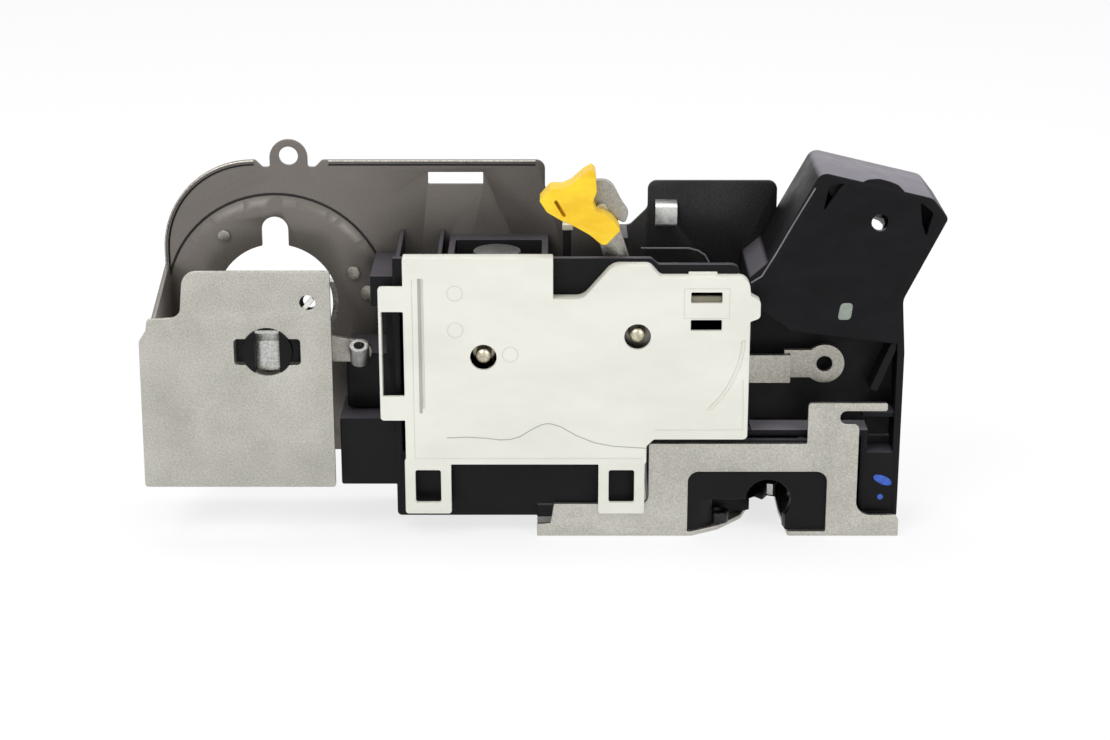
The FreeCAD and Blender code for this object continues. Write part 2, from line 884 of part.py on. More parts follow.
def make_rod_eyelet():
    """Barrel at the key lever's tip that takes the key rod, leaning forwards."""
    lean = FreeCAD.Rotation(RIGHT, 25.0)
    axis = lean.multVec(UP)
    front = key_plate_back() + size.face_gap + size.hub_jaw_depth - size.eyelet_radius - 1.4
    centre = vector(size.key_arm_tip_x, front, size.key_arm_tip_z + 1.0)
    start = centre - axis * (size.eyelet_length / 2.0)
    barrel = Part.makeCylinder(size.eyelet_radius, size.eyelet_length, start, axis)
    barrel = barrel.cut(Part.makeCylinder(size.eyelet_bore, size.eyelet_length, start, axis))
    seat = key_plate_back() + size.face_gap + size.hub_jaw_depth
    stem = pin_y(size.key_arm_tip_x, size.key_arm_tip_z, 1.6, front + size.eyelet_bore, seat)
    plain_part("rod_eyelet", barrel.fuse(stem).removeSplitter())


def case_outline(inset, low):
    """Front view of the case; the right part steps up over the latch."""
    right = size.case_right - inset
    return [
        (size.case_left + inset, low, 1.5),
        (size.case_step_x - inset, low, 1.5),
        (size.case_step_x - inset, size.case_step_z + inset),
        (right, size.case_step_z + inset, 1.5),
        (right, size.case_box_top - inset, 1.5),
        (size.case_left + inset, size.case_box_top - inset, 1.5),
    ]


def gear_x():
    worm_pitch_radius = (size.worm_root_radius + size.worm_outer_radius) / 2.0
    return size.motor_x + worm_pitch_radius + size.mesh_gap + size.gear_module * size.gear_teeth / 2.0


def make_actuator_case():
    body = new_body("actuator_case")
    shell = front_sketch(body, "Shell", "carrier_front")
    draw(shell, case_outline(0.0, size.case_bottom))
    pad(body, shell, "carrier_front - case_rim_front", "ShellPad")

    bay = front_sketch(body, "MechanismBay", "case_rim_front")
    draw(bay, case_outline(size.case_wall, size.cover_bottom + size.cover_wall))
    pocket(body, bay, "carrier_front - case_rim_front - case_wall", "BayPocket")

    keel = front_sketch(body, "LowerHollow", "carrier_front")
    left = size.case_left + size.case_wall
    right = size.case_step_x - size.case_wall
    low = size.case_bottom + size.case_wall
    high = size.cover_bottom
    cells = 4
    cell = (right - left - (cells - 1) * size.fin_sheet) / cells
    for index in range(cells):
        cell_left = left + index * (cell + size.fin_sheet)
        draw_box(keel, cell_left, low, cell_left + cell, high, 0.8)
    pocket(body, keel, "carrier_front - case_rim_front - case_wall", "LowerPocket", reverse=True)

    seat = front_sketch(body, "FlangeSeat", "case_rim_front")
    draw_box(seat, size.foot_left, size.case_bottom, size.case_step_x, size.foot_top - 1.0)
    pad(body, seat, "case_rim_front - flange_front - latch_sheet", "FlangeSeatPad")

    rim = front_sketch(body, "TopRim", "case_rim_front + case_rim_depth")
    draw(rim, [
        (size.case_left, size.case_box_top - size.case_wall),
        (size.case_right - size.case_wall, size.case_box_top - size.case_wall),
        (size.case_right - size.case_wall, size.case_rim_right_top, 3.0),
        (size.cover_step_x + 1.0, size.case_rim_right_top, 1.5),
        (size.carrier_tab_left, size.case_rim_top, 1.5),
        (size.case_left, size.case_rim_top),
    ])
    pad(body, rim, "case_rim_depth", "TopRimPad")

    for index in range(2):
        fin = side_sketch(body, "Fin%d" % index, "fin_left_x + fin_pitch * %d" % index)
        draw(fin, [
            (size.case_rim_front, size.case_box_top - 1.0),
            (size.carrier_front, size.case_box_top - 1.0),
            (size.carrier_front, size.fin_top),
            (size.case_rim_front, size.case_rim_top - 0.6),
        ])
        pad(body, fin, "fin_sheet", "FinPad%d" % index)

    tower = plan_sketch(body, "MotorTower", "motor_bay_floor")
    draw_box(tower, size.motor_bay_left, size.motor_bay_front, size.motor_bay_right, size.carrier_front, 1.0)
    pad(body, tower, "motor_bay_top - motor_bay_floor", "MotorTowerPad")
    well = plan_sketch(body, "MotorWell", "motor_bay_top")
    draw_box(well, size.motor_bay_left + size.case_wall, size.motor_bay_front + size.case_wall,
             size.motor_bay_right - size.case_wall, size.motor_bay_back - size.case_wall, 1.0)
    pocket(body, well, "motor_bay_top - motor_bay_floor - case_wall", "MotorWellPocket")
    shaft_hole = plan_sketch(body, "ShaftHole", "motor_bay_top")
    draw_circle(shaft_hole, "motor_x", "motor_y", "worm_outer_radius + face_gap")
    pocket(body, shaft_hole, "motor_bay_top - motor_bay_floor", "ShaftHolePocket")

    post = plan_sketch(body, "Post", "case_box_top - 1")
    draw_box(post, size.post_x, size.post_y, size.post_x + size.post_width, size.post_y + size.post_width)
    pad(body, post, "post_top - case_box_top + 1", "PostPad")
    guide = plan_sketch(body, "GuideBlock", "case_box_top - 1")
    draw_box(guide, size.guide_block_left, size.post_y - 6.0, size.guide_block_right, size.carrier_front, 0.6)
    pad(body, guide, "guide_block_top - case_box_top + 1", "GuideBlockPad")

    side = front_sketch(body, "SideBlocks", "carrier_front - dish_depth - face_gap")
    draw_box(side, size.case_side_left, size.case_side_bottom, size.case_left + 1.0, size.case_side_top, 1.0)
    pad(body, side, "carrier_front - dish_depth - face_gap - case_side_front", "SideBlockPad")
    upper = front_sketch(body, "UpperSideBlock", "carrier_front - dish_depth - face_gap")
    draw_box(upper, size.case_block_left, size.case_block_bottom, size.case_left + 1.0, size.case_block_top)
    pad(body, upper, "carrier_front - dish_depth - face_gap - case_rim_front - case_rim_depth", "UpperSidePad")
    flank = front_sketch(body, "Flank", "carrier_front - dish_depth - face_gap")
    draw_box(flank, size.case_left - 3.0, size.case_side_top - 1.0, size.case_left + 1.0,
             size.case_block_bottom + 1.0)
    pad(body, flank, "carrier_front - dish_depth - face_gap - case_side_front + case_wall", "FlankPad")

    socket = front_sketch(body, "Socket", "socket_back")
    draw_box(socket, size.socket_left, size.socket_bottom, size.socket_right + 1.0, size.socket_top, 0.8)
    pad(body, socket, "socket_back - socket_front", "SocketPad")
    mouth = side_sketch(body, "SocketMouth", "socket_left")
    wall = size.socket_wall
    draw_box(mouth, size.socket_front + wall, size.socket_bottom + wall,
             size.socket_back - wall, size.socket_top - wall, 0.8)
    pocket(body, mouth, "socket_depth", "SocketPocket", reverse=True)

    bosses = front_sketch(body, "Bosses", "carrier_front")
    for x, z in case_screw_places():
        draw_circle(bosses, x, z, "screw_boss_radius")
    pad(body, bosses, "carrier_front - case_rim_front - case_wall + 0.2", "BossPad")
    pivots = front_sketch(body, "PivotBosses", "carrier_front - case_wall + 0.2")
    draw_circle(pivots, "pivot_x", "pivot_z", "lever_hub_radius - 1")
    reach = "carrier_front - case_wall + 0.2 - lock_lever_front - lock_lever_sheet - face_gap"
    pad(body, pivots, reach, "PivotPad")
    gear_boss = front_sketch(body, "GearBoss", "carrier_front - case_wall + 0.2")
    draw_circle(gear_boss, gear_x(), "gear_z", "gear_hub_radius + 1")
    pad(body, gear_boss, "carrier_front - case_wall + 0.2 - gear_front - gear_width - face_gap", "GearBossPad")

    pilot = front_sketch(body, "PilotHoles", "carrier_front")
    for x, z in case_screw_places():
        draw_circle(pilot, x, z, "case_screw_radius")
    pocket(body, pilot, "case_screw_length", "PilotPocket", reverse=True)
    pins = front_sketch(body, "PinHoles", "lock_lever_front")
    draw_circle(pins, "pivot_x", "pivot_z", "pin_radius")
    draw_circle(pins, gear_x(), "gear_z", "pin_radius")
    pocket(body, pins, "carrier_front - lock_lever_front - case_wall - 4", "PinPocket")

    slot = plan_sketch(body, "LockLeverSlot", "case_box_top")
    draw_box(slot, size.lever_slot_left, size.lock_lever_front - 2.0,
             size.lever_slot_right, size.lock_lever_front + size.lock_lever_sheet + 2.0, 1.0)
    pocket(body, slot, "case_wall + 0.2", "LeverSlotPocket")
    gate = side_sketch(body, "ReleaseGate", "case_right - case_wall - 0.1")
    draw_box(gate, size.case_rim_front, size.release_low_z - 21.0,
             size.release_front + size.release_sheet + 1.4, size.release_low_z + 10.0)
    pocket(body, gate, "case_wall + 1", "ReleaseGatePocket", reverse=True)


def cover_outline(inset):
    """Front view of the cover, moved inwards by an inset."""
    left = size.cover_left + inset
    right = size.cover_right - inset
    top = size.cover_top - inset
    notch_left = size.cover_notch_left - inset
    notch_z = size.cover_notch_z - inset
    hump_top = size.hump_top - inset
    hump_left = size.hump_x - size.hump_radius / 2.0 + inset
    hump_right = size.hump_x + size.hump_radius / 2.0 - inset * 0.5
    right_top = size.cover_right_top - inset
    bump = size.cover_right + 3.2 - inset
    bump_round = 1.6 - 0.6 * inset
    bump_low = size.ear_bump_z - size.ear_bump_radius + inset
    bump_high = size.ear_bump_z + size.ear_bump_radius - inset
    return [
        (left, size.cover_bottom + inset, 1.2),
        (size.cover_step_x - 2.4 - inset, size.cover_bottom + inset, 1.2),
        (size.cover_step_x - 2.4 - inset, size.cover_right_bottom - 2.4 + inset, 1.0),
        (size.cover_step_x - inset, size.cover_right_bottom + inset, 1.0),
        (right, size.cover_right_bottom + inset, 1.5),
        (right, bump_low, 0.6),
        (bump, bump_low + 1.2, bump_round),
        (bump, bump_high - 1.2, bump_round),
        (right, bump_high + 0.6, 1.0),
        (right - 0.6, right_top, 3.6),
        (size.cover_step_x + 1.6 - inset * 0.5, right_top, 2.0),
        (hump_right, hump_top, 3.0),
        (hump_left, hump_top, 5.0),
        (size.cover_notch_right + 3.0 + inset * 1.4, notch_z, 5.0),
        (notch_left, notch_z, 0.4),
        (notch_left, top, 0.4),
        (left, top, 0.6),
    ]


def make_actuator_cover():
    body = new_body("actuator_cover")
    outline = front_sketch(body, "Outline", "case_rim_front")
    draw(outline, cover_outline(0.0))
    pad(body, outline, "case_rim_front - cover_front", "OutlinePad")
    hollow = front_sketch(body, "Hollow", "case_rim_front")
    draw(hollow, cover_outline(size.cover_wall))
    pocket(body, hollow, "case_rim_front - cover_front - cover_skin", "HollowPocket", reverse=True)

    loops = front_sketch(body, "SnapLoops", "cover_front + cover_skin")
    for left in (size.loop_left_x, size.loop_right_x):
        draw_box(loops, left, size.loop_bottom, left + size.loop_width, size.cover_bottom + 2.0, 1.0)
    pad(body, loops, "cover_skin", "LoopPad")
    windows = front_sketch(body, "LoopWindows", "cover_front")
    for left in (size.loop_left_x, size.loop_right_x):
        draw_box(windows, left + size.loop_arm, size.loop_window_bottom,
                 left + size.loop_width - size.loop_arm, size.loop_window_top, 0.8)
    pocket(body, windows, "cover_skin", "LoopWindowPocket")

    hooks = front_sketch(body, "SideHooks", "cover_front + cover_skin")
    for middle in (size.hook_low_z, size.hook_high_z):
        draw_box(hooks, size.hook_left, middle - size.hook_height / 2.0,
                 size.cover_left + 1.0, middle + size.hook_height / 2.0, 1.2)
    pad(body, hooks, "cover_skin", "HookPad")
    strip = front_sketch(body, "HookStrip", "case_rim_front")
    draw_box(strip, size.hook_left, size.hook_low_z - size.hook_height / 2.0 + 1.3,
             size.hook_left + size.hook_strip, size.hook_high_z + size.hook_height / 2.0 - 1.3)
    pad(body, strip, "case_rim_front - cover_front", "HookStripPad")

    pin_holes = front_sketch(body, "PinHoles", "cover_front")
    draw_circle(pin_holes, "stud_x", "stud_z", "cover_hole_radius")
    draw_circle(pin_holes, "pivot_x", "pivot_z", "cover_hole_radius")
    pocket(body, pin_holes, "cover_skin", "PinHolePocket")
    ports = front_sketch(body, "Windows", "cover_front")
    for low in (size.window_low_z, size.window_high_z):
        draw_box(ports, size.window_left, low, size.window_left + size.window_width, low + size.window_height)
    pocket(body, ports, "cover_skin", "WindowPocket")

    groove = front_sketch(body, "StraightGroove", "cover_front")
    draw_box(groove, size.groove_x, size.groove_bottom, size.groove_x + size.groove_width, size.groove_top)
    pocket(body, groove, "groove_depth", "GroovePocket")
    arc = front_sketch(body, "ArcGroove", "cover_front")
    arc.addGeometry(arc_band(), False)
    pocket(body, arc, "groove_depth", "ArcPocket")


def arc_band():
    """Closed band along the travel of the release lever."""
    middle = vector(size.pivot_x, size.pivot_z)
    half = size.groove_width / 2.0
    radii = (size.arc_groove_radius - half, size.arc_groove_radius + half)
    start = math.radians(size.arc_groove_start)
    end = math.radians(size.arc_groove_end)

    def at(radius, angle):
        return middle + vector(radius * math.cos(angle), radius * math.sin(angle))

    between = (start + end) / 2.0
    return [
        Part.Arc(at(radii[1], start), at(radii[1], between), at(radii[1], end)),
        Part.LineSegment(at(radii[1], end), at(radii[0], end)),
        Part.Arc(at(radii[0], end), at(radii[0], between), at(radii[0], start)),
        Part.LineSegment(at(radii[0], start), at(radii[1], start)),
    ]


def frame_outline(inset):
    left = size.case_right + inset
    right = size.frame_right - inset
    return [
        (left, size.frame_base_z + inset, 1.0),
        (size.post_right + 1.0 + inset, size.frame_base_z + inset),
        (size.post_right + 1.0 + inset, size.frame_bottom + inset, 1.0),
        (right, size.frame_bottom + inset, 1.5),
        (right, size.arm_waist_z - 18.0),
        (size.arm_waist_x - inset, size.arm_waist_z, 6.0),
        (size.arm_nose_x - inset * 1.2, size.arm_nose_z - inset * 0.3, 2.0),
        (size.arm_top_right_x - inset * 0.8, size.arm_top_right_z - inset, 4.0),
        (size.arm_top_left_x + inset * 0.9, size.arm_top_left_z - inset, 3.5),
        (size.arm_bend_x + inset, size.arm_bend_z - inset * 0.6, 6.0),
        (left, size.arm_foot_z - inset * 0.4, 4.0),
    ]


def make_latch_frame():
    body = new_body("latch_frame")
    outline = front_sketch(body, "Outline", "carrier_front")
    draw(outline, frame_outline(0.0))
    pad(body, outline, "carrier_front - frame_front", "OutlinePad")
    tray = front_sketch(body, "Tray", "frame_front")
    draw(tray, frame_outline(size.frame_wall))
    pocket(body, tray, "web_front - frame_front", "TrayPocket")
    back = front_sketch(body, "BackHollow", "carrier_front")
    draw(back, frame_outline(size.frame_wall))
    pocket(body, back, "carrier_front - web_front - web_sheet", "BackPocket", reverse=True)

    ribs = front_sketch(body, "BackRibs", "carrier_front - 1")
    inner_left = size.case_right + size.frame_wall / 2.0
    inner_right = size.frame_right - size.frame_wall / 2.0
    for height in (0.25, 0.6):
        level = size.frame_base_z + (size.arm_foot_z - size.frame_base_z) * height
        draw_box(ribs, inner_left, level, inner_right, level + size.fin_sheet)
    pad(body, ribs, "carrier_front - 1 - web_front - web_sheet", "RibPad")

    boss = front_sketch(body, "ArmBoss", "carrier_front")
    draw_circle(boss, "arm_hole_x", "arm_hole_z", "arm_boss_radius")
    pad(body, boss, "carrier_front - web_front", "ArmBossPad")
    gusset = front_sketch(body, "ArmGussets", "web_front")
    draw(gusset, [
        (size.arm_hole_x - 20.0, size.arm_top_left_z - 3.2),
        (size.arm_hole_x - 15.0, size.arm_hole_z + 7.0, 2.0),
        (size.arm_hole_x - 1.0, size.arm_hole_z + 11.0, 2.0),
        (size.arm_hole_x + 3.0, size.arm_top_left_z - 5.4),
    ])
    pad(body, gusset, "web_front - frame_front - 2", "GussetPad")
    through = front_sketch(body, "ArmHole", "frame_front")
    draw_circle(through, "arm_hole_x", "arm_hole_z", "arm_hole_radius")
    pocket(body, through, "carrier_front - frame_front", "ArmHolePocket")
    seats = front_sketch(body, "ArmPinSeat", "web_front")
    draw_circle(seats, "arm_pin_x", "arm_pin_z", "arm_pin_radius")
    pocket(body, seats, "web_sheet", "PinSeatPocket")
    window = front_sketch(body, "LowerRecess", "web_front")
    draw_box(window, size.recess_left + 3.0, size.recess_bottom, size.frame_right - size.frame_wall,
             size.recess_bottom + size.recess_height, 0.8)
    pocket(body, window, "web_sheet / 2", "RecessPocket")
    gate = side_sketch(body, "ReleaseGate", "case_right + frame_wall + 0.1")
    draw_box(gate, size.frame_front, size.release_low_z - 21.0,
             size.release_front + size.release_sheet + 1.4, size.release_low_z + 10.0)
    pocket(body, gate, "frame_wall + 1", "ReleaseGatePocket", reverse=False)


def flange_outline():
    """Front flange of the latch plate: two feet, a bridge over the striker gate and a hooked post."""
    return [
        (size.foot_left, 0.0, 0.5),
        (size.gate_left, 0.0),
        (size.gate_left, size.gate_top, size.gate_radius),
        (size.gate_right, size.gate_top, size.gate_radius),
        (size.gate_right, 0.0),
        (size.plate_right, 0.0, 0.5),
        (size.plate_right, size.heel_top, 2.4),
        (size.post_right, size.heel_top, 4.8),
        (size.post_right, size.bar_top + 7.0, 2.0),
        (size.slot_end_x, size.bar_top + 7.0, 2.1),
        (size.slot_end_x, size.tongue_bottom, 2.1),
        (size.tongue_right, size.tongue_bottom, 0.8),
        (size.tongue_right, size.tongue_top, 0.8),
        (size.post_left, size.tongue_top, 1.2),
        (size.post_left, size.bar_top, 0.4),
        (size.leg_left, size.bar_top, 0.8),
        (size.leg_left, size.foot_top, 3.0),
        (size.foot_left + 5.6, size.foot_top, 0.6),
        (size.foot_left + 4.6, size.foot_top - 6.9, 0.6),
        (size.foot_left, size.foot_top - 7.2, 0.6),
    ]


def base_outline():
    """Plan of the face plate with its flared striker slot."""
    front = size.flange_front
    back = size.plate_back
    foot_back = front + size.foot_depth
    return [
        (size.foot_left, front),
        (size.mouth_left, front, 1.0),
        (size.mouth_left + 9.0, front + 5.2, 6.0),
        (size.throat_left - 2.6, front + 15.0, 6.0),
        (size.throat_left, size.mouth_bend_y + 3.0, 4.0),
        (size.throat_left, size.throat_back, 5.0),
        (size.throat_right, size.throat_back, 5.0),
        (size.throat_right, size.mouth_bend_y, 4.0),
        (size.mouth_front_right, front, 1.0),
        (size.plate_right, front),
        (size.plate_right, back, 6.0),
        (size.case_step_x, back, 6.0),
        (size.case_step_x, foot_back, 3.0),
        (size.foot_left, foot_back, 3.0),
    ]


def fixing_places():
    return [
        ("fixing_left_x", "fixing_left_y"),
        ("fixing_right_x", "fixing_front_y"),
        ("fixing_right_x", "fixing_back_y"),
    ]


def make_latch_plate():
    body = new_body("latch_plate")
    base = plan_sketch(body, "Base", "0")
    draw(base, base_outline())
    pad(body, base, "latch_sheet", "BasePad")
    flange = front_sketch(body, "Flange", "flange_front + latch_sheet")
    draw(flange, flange_outline())
    pad(body, flange, "latch_sheet", "FlangePad")
    collars = plan_sketch(body, "FixingCollars", "0")
    for x, y in fixing_places():
        draw_circle(collars, x, y, "fixing_boss_radius")
    pad(body, collars, "fixing_top", "CollarPad")
    holes = plan_sketch(body, "FixingHoles", "fixing_top")
    for x, y in fixing_places():
        draw_circle(holes, x, y, "fixing_radius")
    pocket(body, holes, "fixing_top", "FixingPocket")


def make_latch_case():
    body = new_body("latch_case")
    left = size.latch_case_left
    right = size.latch_case_right
    front = flange_back()
    back = size.latch_case_back
    outline = plan_sketch(body, "Outline", "latch_sheet")
    draw(outline, [(left, front), (right, front), (right, back, 6.0), (left, back, 6.0)])
    pad(body, outline, "latch_case_top - latch_sheet", "OutlinePad")
    chamber = plan_sketch(body, "ClawChamber", "latch_sheet")
    draw_box(chamber, size.pocket_left, size.pocket_front, size.pocket_right, size.pocket_back, 3.0)
    pocket(body, chamber, "pocket_top - latch_sheet", "ChamberPocket", reverse=True)
    wall = size.case_wall
    tunnel_left = size.throat_left - 2.0 * wall
    tunnel_right = size.throat_right + 2.0 * wall
    deep = plan_sketch(body, "DeepHollows", "latch_case_top")
    draw_box(deep, left + wall, front + wall, tunnel_left - wall, size.carrier_front - wall, 1.0)
    draw_box(deep, tunnel_right + wall, front + wall, right - wall, size.carrier_front - wall, 1.0)
    pocket(body, deep, "latch_case_top - pocket_top - case_wall", "DeepPocket")
    shallow = plan_sketch(body, "TunnelHollow", "latch_case_top")
    draw_box(shallow, tunnel_left, front + wall, tunnel_right, size.carrier_front - wall, 1.0)
    pocket(body, shallow, "latch_case_top - pocket_top - arch_radius - case_wall", "TunnelPocket")
    mouth = plan_sketch(body, "StrikerMouth", "latch_sheet")
    draw(mouth, [
        (size.mouth_left + 0.6, front - 0.5),
        (size.mouth_front_right - 0.6, front - 0.5),
        (size.mouth_front_right - 1.6, size.pocket_front + 0.5),
        (size.mouth_left + 8.0, size.pocket_front + 0.5),
    ])
    pocket(body, mouth, "pocket_top - latch_sheet", "MouthPocket", reverse=True)
    arch = front_sketch(body, "StrikerArch", "throat_back")
    middle = (size.throat_left + size.throat_right) / 2.0
    draw_circle(arch, middle, "pocket_top - 0.6", "arch_radius")
    pocket(body, arch, "throat_back - flange_front", "ArchPocket", reverse=True)


def make_motor():
    """Permanent magnet motor standing in its well, with its shaft pointing down to the worm."""
    x = size.motor_x
    y = size.motor_y
    bottom = size.motor_bay_floor + size.case_wall
    top = bottom + size.motor_length
    can = pin_z(x, y, size.motor_radius, bottom, top)
    flats = block(x - size.motor_radius, x + size.motor_radius, y - size.motor_flat, y + size.motor_flat,
                  bottom, top)
    can = can.common(flats)
    bearing = pin_z(x, y, 3.0, bottom, bottom + 1.0)
    can = can.fuse(bearing)
    bore = pin_z(x, y, size.shaft_radius + size.running_gap, bottom, bottom + 8.0)
    plain_part("motor_can", can.cut(bore).removeSplitter())
    cap = pin_z(x, y, size.motor_radius - 0.8, top, top + size.motor_cap_height)
    plain_part("motor_cap", cap)
    shaft = pin_z(x, y, size.shaft_radius, size.worm_top - size.worm_length, bottom + 7.4)
    plain_part("motor_shaft", shaft)


def make_worm():
    """Single start worm pressed on the motor shaft."""
    x = size.motor_x
    y = size.motor_y
    low = size.worm_top - size.worm_length
    lead = math.pi * size.gear_module
    core = pin_z(0, 0, size.worm_root_radius, low, size.worm_top)
    turns = 2 * int((size.worm_length - lead) / lead / 2.0)
    start = size.gear_z - lead * turns / 2.0
    helix = Part.makeHelix(lead, lead * turns, size.worm_root_radius)
    root = size.worm_root_radius - 0.3
    tip = size.worm_outer_radius
    half_root = lead * 0.24
    half_tip = lead * 0.12
    corners = [vector(root, 0, -half_root), vector(tip, 0, -half_tip), vector(tip, 0, half_tip),
               vector(root, 0, half_root), vector(root, 0, -half_root)]
    profile = Part.makePolygon(corners)
    thread = Part.Wire(helix).makePipeShell([profile], True, True)
    thread.translate(vector(0, 0, start))
    worm = core.fuse(thread)
    worm = worm.cut(pin_z(0, 0, size.shaft_radius, low, size.worm_top))
    worm.translate(vector(x, y, 0))
    plain_part("worm", worm)


def gear_tooth_outline():
    """Outline of the worm wheel, centred on its axis, with a gap facing the worm at rest."""
    teeth = int(size.gear_teeth)
    module = size.gear_module
    pitch_radius = module * teeth / 2.0
    tip = pitch_radius + 0.75 * module
    root = pitch_radius - 1.0 * module
    step = 2.0 * math.pi / teeth
    half_root = step * 0.25
    half_pitch = step * 0.155
    half_tip = step * 0.09
    points = []
    for index in range(teeth):
        angle = math.pi + (index + 0.5) * step
        for radius, offset in ((root, -half_root), (pitch_radius, -half_pitch), (tip, -half_tip),
                               (tip, half_tip), (pitch_radius, half_pitch), (root, half_root)):
            points.append((radius * math.cos(angle + offset), radius * math.sin(angle + offset)))
    return points


def make_drive_gear():
    """Worm wheel whose peg works the lock lever's fork."""
    back = size.gear_front + size.gear_width
    x = gear_x()
    z = size.gear_z
    wheel = front_prism(gear_tooth_outline(), back, size.gear_width)
    wheel.translate(vector(x, 0, z))
    dish = pin_y(x, z, size.gear_module * size.gear_teeth / 2.0 - 2.6, size.gear_front, size.gear_front + 1.0)
    wheel = wheel.cut(dish.cut(pin_y(x, z, size.gear_hub_radius, size.gear_front, size.gear_front + 1.0)))
    peg = gear_peg_place()
    end = size.lock_lever_front - 0.4
    wheel = wheel.fuse(pin_y(peg.x, peg.z, size.gear_peg_radius, end, back - 1.0))
    bore = pin_y(x, z, size.pin_radius + size.running_gap, size.gear_front - 1.0, back + 1.0)
    plain_part("drive_gear", wheel.cut(bore).removeSplitter())
    pin = pin_y(x, z, size.pin_radius, size.gear_front - size.face_gap, size.carrier_front - size.case_wall - 4.0)
    plain_part("gear_pin", pin)


def gear_peg_place():
    toward = math.atan2(size.pivot_z - size.gear_z, size.pivot_x - gear_x())
    angle = toward + math.radians(size.gear_peg_angle)
    return vector(gear_x() + size.gear_peg_offset * math.cos(angle), 0,
                  size.gear_z + size.gear_peg_offset * math.sin(angle))


def lever_bar(start_x, start_z, end_x, end_z, half_start, half_end, back, thickness):
    """Tapered flat bar between two places in the front view."""
    along = vector(end_x - start_x, end_z - start_z).normalize()
    across = vector(-along.y, along.x)
    start = vector(start_x, start_z)
    end = vector(end_x, end_z)
    corners = []
    for place, half in ((start, -half_start), (end, -half_end), (end, half_end), (start, half_start)):
        point = place + across * half
        corners.append((point.x, point.y))
    return front_prism(corners, back, thickness)


def make_lock_lever():
    front = size.lock_lever_front
    back = front + size.lock_lever_sheet
    thick = size.lock_lever_sheet
    x = size.pivot_x
    z = size.pivot_z
    lever = pin_y(x, z, size.lever_hub_radius, front, back)
    lever = lever.fuse(lever_bar(x, z, size.lock_tip_x, size.lock_tip_z, 4.6, 3.6, back, thick))
    lever = lever.fuse(pin_y(size.lock_tip_x, size.lock_tip_z, size.lock_tip_radius, front, back))
    peg = gear_peg_place()
    reach = vector(peg.x - x, 0, peg.z - z)
    toward = reach.normalize()
    distance = math.hypot(peg.x - x, peg.z - z)
    end = vector(x, 0, z) + toward * (distance + 5.6)
    lever = lever.fuse(lever_bar(x, z, end.x, end.z, 5.4, 4.4, back, thick))
    slot_start = vector(x, 0, z) + toward * (distance - 3.6)
    slot_end = vector(x, 0, z) + toward * (distance + 8.0)
    half = size.fork_slot_half_width
    lever = lever.cut(lever_bar(slot_start.x, slot_start.z, slot_end.x, slot_end.z, half, half, back, thick))
    lever = lever.cut(pin_y(slot_start.x, slot_start.z, half, front, back))
    lever = lever.cut(pin_y(x, z, size.pin_radius + size.running_gap, front, back))
    lever = lever.cut(pin_y(size.lock_tip_x, size.lock_tip_z, size.clip_pin_radius, front, back))
    plain_part("lock_lever", lever.removeSplitter())


def make_rod_clip():
    """Yellow rod clip on the lock lever's tip and the pin it swivels on."""
    x = size.lock_tip_x
    z = size.lock_tip_z
    back = size.lock_lever_front - size.face_gap
    tilt = math.radians(-size.clip_tilt)
    along = vector(math.cos(tilt), 0, math.sin(tilt))
    across = vector(-math.sin(tilt), 0, math.cos(tilt))
    half = size.clip_length / 2.0
    height = size.clip_height
    depth = size.clip_depth
    saddle = prism([
        (-half - 2.0, -height * 0.35, 1.5),
        (half * 0.1, -height * 0.35),
        (half * 0.1, -height * 0.65, 0.6),
        (half, -height * 0.65, 1.0),
        (half, height * 0.5, 1.5),
        (-half - 2.0, height * 0.5, 1.5),
    ], vector(x, back, z), along, across, depth)
    middle = vector(x, back - depth * 0.6, z)
    rod_bore = Part.makeCylinder(1.7, 4.0 * half, middle - along * (2.0 * half), along)
    jaw_gap = prism([
        (half - size.clip_jaw_length, -1.2),
        (half * 2.0, -1.2),
        (half * 2.0, 1.2),
        (half - size.clip_jaw_length, 1.2),
    ], vector(x, back - depth * 0.6, z), along, across, depth)
    pin_bore = pin_y(x, z, size.clip_pin_radius + size.running_gap, back - depth, back)
    clip = saddle.cut(rod_bore).cut(jaw_gap).cut(pin_bore)
    plain_part("rod_clip", clip)
    lever_back = size.lock_lever_front + size.lock_lever_sheet
    pin = pin_y(x, z, size.clip_pin_radius, back - depth * 0.3, lever_back)
    head = pin_y(x, z, size.clip_pin_radius + 1.2, lever_back, lever_back + 1.2)
    plain_part("clip_pin", pin.fuse(head).cut(rod_bore))


